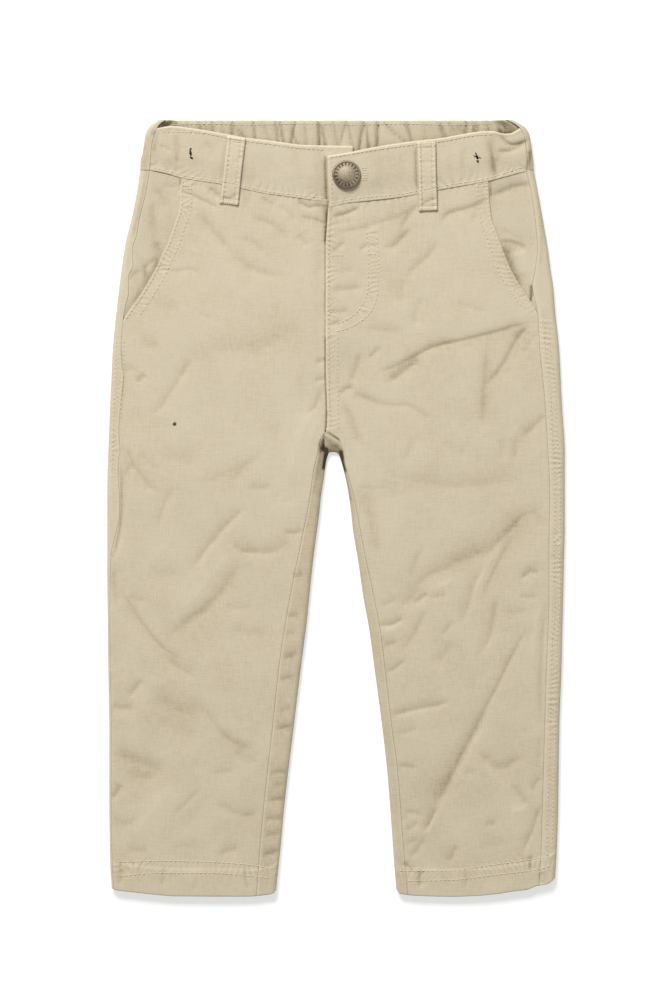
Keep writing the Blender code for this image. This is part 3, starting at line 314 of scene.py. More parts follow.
    ([(327, 410), (326.5, 422), (327, 433)], 0.9, 0.9, -0.35, 0.3),
    ([(324.5, 414), (324.5, 424), (324, 433)], 0.7, 0.7, -0.25, 0.3),
    ([(324, 434), (323.5, 443), (323, 453)], 0.9, 0.9, -0.50, 0.3),
    ([(319.5, 440), (320, 447), (321.5, 454)], 0.9, 0.9, -0.35, 0.3),
    ([(328, 445), (333, 446.5), (339, 444)], 1.2, 1.2, -0.20, 0.4),
    # photo left leg, knee
    ([(244, 506), (236, 514), (230, 520), (222, 528), (214, 538), (206, 547), (199, 557),
      (189, 569)], 3.0, 1.4, -0.55, 0.6),
    ([(303, 529), (294, 532), (284, 532)], 1.5, 1.8, -0.50, 0.5),
    ([(232, 540), (244, 549), (258, 551), (272, 550), (288, 541)], 4.5, 1.8, -0.50, 0.8),
    ([(241, 550), (250, 551), (262, 551)], 1.4, 1.2, -0.28, 0.4),
    ([(240, 560), (232, 573), (224, 586), (214, 599), (204, 610), (192, 618), (180, 626),
      (166, 636)], 3.0, 4.2, -0.55, 1.0),
    ([(216, 594), (205, 606), (192, 615), (180, 624)], 1.6, 2.0, -0.28, 0.5),
    ([(230, 556), (219, 571), (207, 587), (196, 600), (182, 612)], 4.6, 2.2, 0.32, 1.0),
    ([(122, 592), (130, 603), (138, 617), (147, 629), (156, 640), (166, 650), (180, 658)], 1.2, 3.0, -0.62, 0.3),
    ([(166, 656), (180, 666), (196, 676)], 3.4, 1.8, -0.42, 0.9),
    ([(130, 594), (137, 598), (146, 600)], 2.2, 2.2, -0.34, 0.8),
    ([(150, 566), (162, 571), (180, 572)], 3.4, 3.4, -0.24, 1.6),
    ([(225, 603), (238, 606), (254, 604)], 3.0, 3.0, -0.28, 1.2),
    ([(232, 628), (250, 631), (268, 629)], 4.0, 4.0, -0.34, 1.6),
    # photo left leg, shin
    ([(141, 679), (135, 687), (128, 696)], 1.8, 1.8, -0.58, 0.6),
    ([(150, 694), (176, 704), (204, 716)], 5.5, 5.5, -0.44, 2.2),
    ([(160, 716), (182, 730), (200, 734)], 5.0, 5.0, -0.30, 2.0),
    ([(196, 700), (206, 712), (216, 724), (226, 735), (236, 743)], 2.2, 2.6, -0.30, 0.8),
    ([(222, 732), (234, 741), (247, 746), (254, 742)], 2.4, 3.2, -0.42, 0.9),
    ([(236, 748), (246, 756), (258, 762)], 4.0, 3.0, -0.34, 1.4),
    ([(112, 705), (122, 707), (134, 706)], 2.0, 2.0, -0.50, 0.8),
    ([(112, 750), (126, 756), (146, 762), (166, 772)], 4.0, 4.0, -0.69, 1.6),
    ([(130, 768), (140, 776), (156, 776)], 3.4, 3.4, -0.42, 1.4),
    ([(120, 784), (116, 792), (111, 799)], 2.0, 1.6, -0.63, 0.6),
    ([(112, 818), (124, 823), (138, 818)], 2.6, 2.6, -0.30, 1.0),
    ([(212, 789), (204, 800), (194, 812), (182, 823), (170, 834)], 6.0, 6.5, -0.18, 0.9),
    ([(200, 788), (192, 796), (182, 806), (172, 816)], 1.4, 1.4, -0.25, 0.4),
    ([(178, 790), (160, 808), (146, 826), (138, 840)], 4.4, 4.4, 0.46, 1.6),
    ([(214, 802), (225, 806), (236, 812), (247, 814), (260, 810)], 2.8, 2.2, -0.35, 0.8),
    ([(212, 773), (222, 771), (234, 769)], 2.0, 2.0, -0.26, 0.8),
    ([(128, 848), (138, 850), (148, 848)], 1.8, 1.8, -0.26, 0.7),
    ([(170, 848), (184, 845), (198, 846)], 2.6, 2.6, -0.22, 1.0),
    ([(218, 852), (228, 850), (238, 846)], 2.6, 2.6, -0.50, 1.0),
    # beside the seams of the photo's left leg
    ([(120.4, 468), (121.4, 485), (121.4, 503), (120.4, 522), (117.4, 540), (112.4, 558)], 0.9, 1.3, -1.00, 0.3),
    ([(121, 340), (122.5, 360), (124, 378), (122, 400), (120, 424)], 1.0, 1.4, -0.30, 0.3),
    ([(113, 570), (115, 590), (117, 606)], 1.4, 1.4, -0.40, 0.6),
    ([(292, 577), (297, 575), (303, 573)], 1.9, 2.2, -0.43, 0.5),
    ([(286, 617), (292, 615), (299, 614)], 1.9, 2.2, -0.50, 0.5),
    ([(284, 634), (290, 633), (296, 632)], 1.9, 2.2, -0.29, 0.5),
    ([(283, 657), (290, 655), (297, 652)], 1.9, 2.2, -0.54, 0.6),
    ([(279, 680), (286, 677), (294, 676)], 1.9, 2.2, -0.43, 0.5),
    ([(278, 712), (284, 709), (291, 706)], 1.9, 2.2, -0.33, 0.6),
    ([(276, 728), (283, 727), (292, 725)], 1.9, 2.2, -0.68, 0.4),
    ([(270, 773), (278, 771), (288, 771)], 1.9, 2.2, -0.40, 0.5),
    ([(272, 784), (280, 783), (287, 781)], 1.9, 2.2, -0.29, 0.6),
    ([(268, 801), (276, 799), (286, 798)], 1.9, 2.2, -0.65, 0.4),
    ([(265, 821), (271, 817), (277, 818), (284, 816)], 1.9, 2.2, -0.58, 0.4),
    ([(264, 836), (271, 834), (281, 833)], 1.9, 2.2, -0.58, 0.4),
    ([(262, 855), (269, 853), (279, 850)], 1.9, 2.2, -0.85, 0.4),
    ([(262, 866), (268, 865), (276, 862)], 1.9, 2.2, -0.29, 0.5),
    # round the hems
    ([(245, 868), (245.5, 878), (248, 890)], 0.9, 0.9, -0.60, 0.3),
    ([(119, 861), (120.5, 872), (119, 886)], 1.3, 1.3, -0.60, 0.4),
    ([(163, 868), (163, 878), (161, 886)], 1.0, 1.2, -0.50, 0.4),
    ([(196, 876), (195, 884), (193, 890)], 1.2, 1.4, -0.26, 0.5),
    ([(139, 864), (138, 876), (139, 886)], 1.2, 1.4, -0.26, 0.5),
    ([(420, 870), (419, 880), (420, 888)], 1.1, 1.3, -1.00, 0.4),
    ([(465, 868), (466, 878), (464, 888)], 1.2, 1.4, -0.34, 0.5),
    ([(529, 856), (530, 866), (531, 872)], 1.1, 1.3, -0.80, 0.4),
    ([(540, 872), (541, 879), (542, 885)], 1.2, 1.4, -0.80, 0.4),
    ([(405, 861.2), (409, 867.2), (415, 872.2)], 1.2, 1.4, -0.80, 0.4),
    ([(403, 874), (405, 882), (407, 890)], 1.2, 1.4, -0.16, 0.5),
    # under the waistband, photo left
    ([(181, 190), (192, 194), (202, 199), (212, 204), (220, 207)], 1.1, 2.0, -0.56, 0.3),
    ([(185, 184.5), (196, 184), (208, 183.5)], 1.0, 1.2, -0.13, 0.4),
    ([(198, 211), (206, 220), (214, 231), (222, 240), (232, 250)], 2.4, 2.4, -0.52, 0.9),
    ([(232, 250), (244, 262), (256, 268), (270, 273), (286, 275)], 2.4, 2.4, -0.36, 1.0),
    ([(240, 267), (248, 268), (256, 270)], 2.4, 2.4, -0.20, 1.0),
    ([(250, 217), (262, 219), (272, 223), (280, 229), (289, 241)], 2.4, 2.6, -0.42, 1.0),
    ([(278, 205), (290, 212), (298, 222)], 2.0, 2.0, -0.26, 0.8),
    ([(299, 233), (304, 240), (309, 247)], 2.0, 2.0, -0.45, 0.8),
    ([(240, 236), (250, 239), (260, 247), (266, 254)], 2.2, 2.2, -0.30, 0.9),
    ([(243, 189), (246, 196), (246, 207)], 1.3, 1.6, -0.42, 0.5),
    ([(209, 187), (216, 192), (220, 199)], 1.4, 1.6, -0.80, 0.5),
    ([(260, 196), (268, 200), (277, 206)], 1.6, 1.8, -0.36, 0.6),
    ([(297, 199), (303, 203), (309, 207), (316, 205), (327, 206)], 1.2, 2.0, -0.80, 0.3),
    ([(300, 211), (310, 212), (320, 212)], 1.6, 1.6, 0.34, 0.6),
    ([(299, 216), (310, 217.5), (319, 220), (327, 224)], 1.2, 2.6, -0.49, 0.3),
    ([(322, 207), (325, 214), (327, 222)], 1.6, 1.4, -0.08, 0.5),
    ([(200, 274), (190, 268), (176, 270)], 1.2, 1.6, -0.24, 0.5),
    ([(162, 268), (172, 270), (182, 272)], 1.2, 1.6, -0.26, 0.5),
    ([(150, 296), (160, 302), (176, 308)], 4.0, 4.0, -0.24, 1.6),
    ([(200, 312), (206, 316), (212, 319)], 1.2, 1.4, -0.24, 0.5),
    ([(316, 250), (320, 262), (318, 276)], 3.0, 3.0, -0.22, 1.4),
    # under the waistband, photo right
    ([(331, 216), (342, 214), (350, 211), (360, 206)], 1.2, 2.2, -0.95, 0.4),
    ([(330, 223), (342, 221), (354, 219)], 1.6, 2.0, -0.26, 0.7),
    ([(332, 234), (346, 230), (362, 227), (380, 221), (394, 217), (406, 212), (418, 202)], 1.7, 2.6, -0.36, 0.5),
    ([(418, 203), (411, 211), (405, 219), (400, 230)], 1.6, 2.2, -0.50, 0.6),
    ([(384, 208), (396, 206), (408, 202)], 1.4, 1.6, -0.05, 0.6),
    ([(410, 228), (402, 236), (396, 243), (390, 248)], 1.8, 2.4, -0.62, 0.6),
    ([(437, 238), (432, 249), (424, 258), (414, 266), (405, 278)], 2.4, 2.6, -0.46, 0.9),
    ([(404, 278), (400, 290), (402, 302)], 2.4, 2.4, -0.26, 1.1),
    ([(440, 223), (446, 214), (456, 210), (468, 207), (478, 203), (488, 196)], 1.4, 3.4, -0.82, 0.4),
    ([(470, 222), (475, 214), (476, 206)], 1.4, 1.6, -0.22, 0.6),
    ([(359, 252), (363, 246), (370, 244.5), (380, 245)], 1.1, 1.2, -0.37, 0.3),
    ([(331, 252), (337, 247), (344, 241)], 1.4, 1.6, -0.44, 0.5),
    ([(384, 246), (389, 246), (394, 244)], 1.3, 1.4, -0.34, 0.5),
    ([(330, 289), (345, 288), (363, 285)], 2.0, 2.2, -0.44, 0.7),
    ([(330, 272), (342, 270), (356, 269)], 2.0, 2.0, -0.20, 0.8),
    ([(329, 310), (338, 311), (349, 310)], 1.2, 1.4, -0.40, 0.4),
    ([(329, 324), (335, 323), (340, 320)], 1.1, 1.3, -0.60, 0.4),
    ([(330, 341), (335, 343), (342, 348)], 1.1, 1.3, -0.08, 0.4)]

# Seams that pull the cloth into small puckers: points, reach, depth and wave length
puckers = [
    ([(187, 180), (185, 191), (186, 201), (184.5, 214), (179.5, 227), (175, 242), (168, 257), (160, 274),
      (149, 292.5), (135, 312.5)], 4.5, 0.21, 3.0),
    ([(483, 183), (484, 200), (486, 220), (491.5, 236), (497, 251), (505.5, 272.5), (517, 290.5), (527, 305),
      (535, 315)], 4.5, 0.21, 3.0),
    ([(118, 868), (200, 867.5), (276, 873)], 5.0, 0.21, 3.2),
    ([(399, 875.5), (450, 875), (485, 870), (535, 864), (552, 861)], 5.0, 0.21, 3.2),
    ([(546, 318), (547, 349), (551.5, 376), (553.5, 402), (554.5, 437), (557.5, 480), (557.5, 514), (557, 563),
      (557.5, 597), (555, 635), (553, 687), (552.5, 738), (551.5, 769), (550, 824), (549.5, 858)], 3.2, 0.32, 3.0),
    ([(118, 340), (119, 372), (117, 398), (116.5, 420), (114, 440), (114, 470), (113, 500)], 2.8, 0.24, 2.6),
    ([(330, 222), (330, 280), (330, 330), (331, 400), (332, 430)], 3.2, 0.24, 3.2),
    ([(372, 231), (374, 262), (373, 288), (367, 306), (356, 319), (340, 327)], 3.8, 0.24, 2.8),
    ([(182, 181), (222, 187), (265, 196), (297, 200), (326, 204)], 3.4, 0.18, 5.0),
    ([(330, 210), (370, 203), (417, 197), (450, 190), (488, 184)], 3.4, 0.18, 5.0)]

# Painted shade where no crease makes it, and a few painted highlights (above 0): points, reach in millimetres, tone
shadows = [
    # round the crotch
    ([(326.2, 450), (325.8, 455)], 1.15, -0.72),
    ([(325.2, 457), (323.6, 468)], 0.9, -0.66),
    ([(322.6, 448), (325, 450)], 0.8, -0.25),
    ([(341.2, 452.5), (342.2, 458)], 1.3, -0.72),
    ([(342.6, 461), (344.6, 470)], 0.9, -0.66),
    ([(321, 447), (331, 449), (341, 449)], 2.0, -0.14),
    ([(323.6, 434), (323.3, 443), (323.5, 450)], 0.7, -0.34),
    ([(320, 441), (319.6, 447), (320.6, 451)], 1.0, -0.18),
    ([(318.6, 454), (317, 470), (314, 490)], 2.4, -0.07),
    ([(325.8, 434), (325.6, 444)], 0.6, 0.14),
    ([(326, 431), (332, 434.5), (339, 439.5)], 0.7, -0.42),
    ([(328, 436.5), (333, 439.5), (338, 443)], 0.9, 0.12),
    ([(331, 444), (337, 446)], 1.0, -0.10),
    ([(346, 471), (347.5, 485), (349, 500)], 1.5, -0.12),
    ([(366, 498), (371, 520), (375, 545)], 4.0, -0.10),
    # beside the top of the fly
    ([(325, 206), (325.6, 216), (325.2, 226), (324.6, 240)], 1.7, -0.24),
    # a broad fold on the thigh
    ([(418, 358), (402, 368), (390, 378)], 3.5, -0.06),
    # beside the side seams
    ([(147, 172), (142.5, 196), (137, 220), (134.5, 232)], 1.5, -0.15),
    ([(541, 190), (542, 225), (541, 260)], 1.7, -0.12),
    ([(119, 478), (119, 505), (117.4, 530), (113.4, 550)], 0.7, 0.12),
    # inside the pocket mouths
    ([(531, 286), (531.5, 294), (531, 300)], 0.9, -0.36),
    ([(506, 250), (511, 266), (518, 283)], 3.2, -0.16),
    ([(490.6, 182), (490.6, 195)], 0.8, -0.22),
    ([(180.8, 179), (180.4, 183)], 0.9, -0.30),
    ([(158, 262), (147, 281), (135, 300)], 2.0, -0.14),
    ([(152, 205), (152, 223)], 2.6, -0.08),
    ([(155, 244), (156, 264)], 2.6, -0.10),
    ([(145, 266), (145, 274)], 1.8, -0.10)]


def alongPath(path, x, down):
    # distance aside (right of the way is positive), nearest distance, way travelled, and the whole length
    best = np.full(x.shape, np.inf)
    aside, travelled = np.zeros(x.shape), np.zeros(x.shape)
    sofar = 0.0
    for a, b in zip(path[:-1], path[1:]):
        way = b - a
        length = math.hypot(*way)
        t = np.clip(((x - a[0]) * way[0] + (down - a[1]) * way[1]) / length ** 2, 0, 1)
        offX, offDown = x - a[0] - way[0] * t, down - a[1] - way[1] * t
        distance = np.hypot(offX, offDown)
        nearer = distance < best
        best = np.where(nearer, distance, best)
        aside = np.where(nearer, (way[0] * offDown - way[1] * offX) / length, aside)
        travelled = np.where(nearer, sofar + length * t, travelled)
        sofar += length
    return aside, best, travelled, sofar


def closeTo(path, margin, x, down):
    # which places lie in the box round a path
    low, high = path.min(0) - margin, path.max(0) + margin
    return (x > low[0]) & (x < high[0]) & (down > low[1]) & (down < high[1])


def smoothPath(points, step=2.5):
    points = np.asarray(points, float)
    lengths = np.concatenate([[0], np.cumsum(np.hypot(*np.diff(points, axis=0).T))])
    places = np.linspace(0, lengths[-1], max(3, int(lengths[-1] / step) + 1))
    if len(points) < 3:
        return np.stack([np.interp(places, lengths, points[:, i]) for i in (0, 1)], -1)
    return np.stack([smoothCurve(lengths, points[:, i])(places) for i in (0, 1)], -1)


def ripple(x, down, size, seed):
    # soft random hills about "size" apart, from -1 to 1
    cells = 97
    lattice = np.random.RandomState(seed).uniform(-1, 1, (cells, cells))
    u, v = x / size + 40.0, down / size + 7.0
    i, j = np.floor(u).astype(int), np.floor(v).astype(int)
    s, t = u - i, v - j
    s, t = s * s * (3 - 2 * s), t * t * (3 - 2 * t)
    a, b = lattice[i % cells, j % cells], lattice[(i + 1) % cells, j % cells]
    c, d = lattice[i % cells, (j + 1) % cells], lattice[(i + 1) % cells, (j + 1) % cells]
    return (a * (1 - s) + b * s) * (1 - t) + (c * (1 - s) + d * s) * t


def crest(lightward, beyond, lit, shaded, rounded):
    # 1 along the line of a crease, falling away to both sides and past its ends
    width = np.where(lightward > 0, lit, shaded)
    return np.exp(-(np.sqrt(lightward ** 2 + beyond + rounded ** 2) - rounded) / width)


def creaseRelief(table, x, down):
    # the relief of the creases, and how deep their lines lie in shade
    relief, shade = np.zeros(x.shape), np.zeros(x.shape)
    for points, lit, shaded, depth, rounded in table:
        path = smoothPath(fromPhoto(points))
        near = closeTo(path, 4.5 * max(lit, shaded) + 2.0, x, down)
        if not near.any():
            continue
        aside, distance, travelled, length = alongPath(path, x[near], down[near])
        # the light lies up and to the left of the photograph
        way = path[-1] - path[0]
        lightward = aside if 0.3 * way[1] > way[0] else -aside
        beyond = np.maximum(distance ** 2 - aside ** 2, 0)
        share = travelled / length
        strength = depth * ease(share, -0.06, 0.24) * (1 - ease(share, 0.76, 1.06))
        # what shows dark is the slope that faces away from the light, so that slope lies on the drawn line
        steep = lit if depth < 0 else shaded
        moved = 0.9 * (rounded ** 2 * steep) ** (1 / 3) + 0.3
        slope = lightward + (moved if depth < 0 else -moved)
        relief[near] += strength * crest(slope, beyond, lit, shaded, rounded)
        shade[near] += strength * crest(lightward, beyond, lit, shaded, rounded)
    return relief, shade


def puckerRelief(table, x, down):
    total = np.zeros(x.shape)
    for number, (points, reach, depth, wave) in enumerate(table):
        path = smoothPath(fromPhoto(points), 4.0)
        near = closeTo(path, 3 * reach, x, down)
        if not near.any():
            continue
        aside, distance, travelled, length = alongPath(path, x[near], down[near])
        wander = 1.3 * ripple(travelled, aside * 0.2 + 31.0 * number, 9.0, 11 + number)
        uneven = 0.55 + 0.45 * ripple(travelled, 0 * travelled + 13.0 * number, 17.0, 31 + number)
        slant = aside * (0.3 + 1.1 * ripple(travelled, 0 * travelled + 7.0 * number, 7.0, 51 + number))
        total[near] += depth * uneven * np.cos(2 * np.pi * (travelled + slant) / wave + wander * 3) \
            * np.exp(-(distance / reach) ** 2)
    return total


def shadowTone(table, x, down):
    # painted shade, and painted highlights where the tone is above 0, along each row of a table
    total = np.zeros(x.shape)
    for points, reach, tone in table:
        path = smoothPath(fromPhoto(points))
        near = closeTo(path, 2.6 * reach, x, down)
        if near.any():
            total[near] += tone * np.exp(-(alongPath(path, x[near], down[near])[1] / reach) ** 2)
    return total


def creaseShadeAndHighlight(shade):
    # painted shade makes troughs a little darker than the cloth between, and a painted highlight makes ridges a
    # little paler
    return cloth["creaseShadeAndHighlight"] * np.tanh(shade / cloth["creaseFull"])


def bump(distance, middle, width):
    return np.exp(-((distance - middle) / width) ** 2)


def rollHighlightWearAndDitchShade(distance, rim=0.08, ditch=0.10):
    # the edge of a seam, paler along its roll from wear and a painted highlight, with painted shade in a dark ditch
    # at the very edge
    return rim * bump(distance, 0.9, 0.6) - ditch * bump(distance, 0, 0.3)


def ditchShade(distance):
    # painted shade in the ditch beside a seam
    return -cloth["seamDitchShade"] * bump(distance, 0, 0.6)


def crotchShade(down):
    return bump(down, 206.0, 15.0)


def stripShade(leg, down):
    # the strip between the legs lies lower than the fronts; painted shade darkens it towards the crotch
    below = np.maximum(down - leg["crotch"], 0)
    return cloth["stripShadeLevel"] + cloth["crotchShadeLevel"] * np.exp(-below / cloth["crotchFade"])


def clothForm(leg, x, down):
    # height and tone of the upper side of a leg's cloth; the tone is painted shade and painted highlights
    relief, shade = creaseRelief(creases, x, down)
    pucker = puckerRelief(puckers, x, down)
    rumple = cloth["rumple"] * ripple(x, down * 0.8, cloth["rumpleSize"], cloth["seed"])
    rumple = rumple + cloth["fineRumple"] * ripple(x, down, cloth["fineRumpleSize"], cloth["seed"] + 1)
    hemTop = leg["hemAt"](x) - cloth["hemDepth"]
    turned = cloth["hemTurn"] * ease(down, hemTop - cloth["hemTurnRun"], hemTop + cloth["hemTurnRun"])
    tone = creaseShadeAndHighlight(shade) + cloth["puckerShadeAndHighlight"] * pucker + shadowTone(shadows, x, down)
    # painted shade: the cloth darkens towards the hems, as the light falls off
    tone = tone - cloth["lowerShade"] * ease(down, 150.0, 420.0)
    return levelAt(down) + relief + pucker + rumple + turned, tone


def hemPlace(leg, x, down):
    follow = ease(down, leg["straight"] - cloth["hemFollowStart"], leg["straight"] - cloth["hemFollowEnd"])
    return down + (leg["hemAt"](x) - leg["straight"]) * follow


def edgeDrop(distance, rounded):
    # how far a rounded edge falls away at a distance in from it
    inside = np.clip(rounded - distance, 0, rounded)
    return rounded - np.sqrt(rounded ** 2 - inside ** 2)


def meshPiece(name, points, faces, material, smoothAngle=50):
    mesh = bpy.data.meshes.new(name)
    mesh.from_pydata(points.tolist(), [], faces)
    mesh.materials.append(material)
    mesh.shade_smooth()
    mesh.set_sharp_from_angle(angle=math.radians(smoothAngle))
    mesh.update()
    piece = bpy.data.objects.new(name, mesh)
    bpy.context.scene.collection.objects.link(piece)
    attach(piece, "root")
    return piece


def writeTone(piece, tones):
    # the tone that the finish reads, one for each point: mostly painted shade and painted highlights
    layer = piece.data.attributes.new("tone", "FLOAT", "POINT")
    layer.data.foreach_set("value", tones.astype(np.float32))


def ringFaces(rings, sides):
    # the faces between rings of points that follow one another
    faces = []
    for ring in range(rings - 1):
        for i in range(sides):
            a, b = ring * sides + i, ring * sides + (i + 1) % sides
            faces.append((a, b, b + sides, a + sides))
    return faces


def largerFaces(cells, index, block):
    # the hidden side in larger faces away from its edges: those faces, and the cells that stay small
    tall, wide = cells.shape[0] // block, cells.shape[1] // block
    whole = cells[:tall * block, :wide * block].reshape(tall, block, wide, block).all((1, 3))
    ring = np.pad(whole, 1)
    whole = whole & ring[:-2, 1:-1] & ring[2:, 1:-1] & ring[1:-1, :-2] & ring[1:-1, 2:]
    ring = np.pad(whole, 1)
    faces = []
    for i, j in np.argwhere(whole):
        r, s, c, d = i * block, (i + 1) * block, j * block, (j + 1) * block
        # each side of the block, with all its points where the next cells are small
        walks = [(ring[i, j + 1], index[r, c:d]), (ring[i + 1, j + 2], index[r:s, d]),
                 (ring[i + 2, j + 1], index[s, d:c:-1]), (ring[i + 1, j], index[s:r:-1, c])]
        faces.append([int(p) for joined, walk in walks for p in (walk[:1] if joined else walk)][::-1])
    small = cells.copy()
    small[:tall * block, :wide * block] &= ~np.repeat(np.repeat(whole, block, 0), block, 1)
    return faces, small


def shell(name, outer, inner, material, tone, holes=None, outerTone=None):
    # a closed thin wall between two grids of points; a cell with a missing corner, or in holes, is left out
    rows, columns = outer.shape[:2]
    there = ~np.isnan(outer[..., 0])
    cells = there[:-1, :-1] & there[1:, :-1] & there[:-1, 1:] & there[1:, 1:]
    if holes is not None:
        cells &= ~holes
    used = np.zeros((rows, columns), bool)
    used[:-1, :-1] |= cells
    used[1:, :-1] |= cells
    used[:-1, 1:] |= cells
    used[1:, 1:] |= cells
    index = np.full((rows, columns), -1)
    count = int(used.sum())
    index[used] = np.arange(count)
    a, b, c, d = index[:-1, :-1], index[:-1, 1:], index[1:, 1:], index[1:, :-1]
    large, small = largerFaces(cells, index, cloth["hiddenBlock"])
    faces = np.stack([a, b, c, d], -1)[cells].tolist()
    faces += (np.stack([d, c, b, a], -1)[small] + count).tolist()
    faces += [[p + count for p in face] for face in large]
    padded = np.pad(cells, 1)
    for start, end, beside in ((a, b, padded[:-2, 1:-1]), (c, d, padded[2:, 1:-1]),
                               (d, a, padded[1:-1, :-2]), (b, c, padded[1:-1, 2:])):
        edge = cells & ~beside
        s, e = start[edge], end[edge]
        faces += np.stack([e, s, s + count, e + count], -1).tolist()
    points = np.concatenate([outer[used], inner[used]])
    tones = np.concatenate([(tone if outerTone is None else outerTone)[used], tone[used]])
    kept = np.zeros(len(points), bool)
    kept[[p for face in faces for p in face]] = True
    renumber = (np.cumsum(kept) - 1).tolist()
    piece = meshPiece(name, points[kept], [[renumber[p] for p in face] for face in faces], material)
    writeTone(piece, tones[kept])
    return piece


def foldPoints(rimX, rimDown, wayX, wayDown, reach, height, upper, wall, depth):
    # outer and inner points at a reach in from the rim of a folded edge
    cosine = np.clip(1 - reach / depth, 0, 1)
    sine = np.sqrt(1 - cosine ** 2) * np.where(upper, 1, -1)
    outer = inMetres(rimX + wayX * reach, rimDown + wayDown * reach, height / 2 * (1 + sine))
    inside = reach + wall * cosine
    inner = inMetres(rimX + wayX * inside, rimDown + wayDown * inside, height / 2 + (height / 2 - wall) * sine)
    return outer, inner


def fillBetween(places, step):
    filled = [places[0]]
    for first, second in zip(places, places[1:]):
        parts = max(1, math.ceil((second - first) / step))
        filled += [first + (second - first) * i / parts for i in range(1, parts + 1)]
    return np.array(filled)


roundShares = 1 - np.cos(np.linspace(0, math.pi / 2, 7))
edgeSteps = np.array([0.0, 0.08, 0.22, 0.42, 0.7, 1.2])


def legDowns(leg):
    downs = fillBetween([leg["top"] + cloth["seamGap"] / 2, leg["crotch"], leg["straight"]], cloth["grid"])
    ends = leg["straight"] - np.array([0.08, 0.25, 0.5])
    return np.sort(np.concatenate([downs, ends]))


def innerEdge(leg, down):
    rim = np.stack([leg["rimAt"](down), leg["rimDownAt"](down)], -1)
    inseam = np.stack([leg["inseamAt"](down), leg["inseamDownAt"](down)], -1)
    aside = np.where(down <= leg["crotch"] + 0.01, leg["sign"] * cloth["seamGap"] / 2, 0.0)
    rim[:, 0] += aside
    inseam[:, 0] += aside
    return rim, inseam


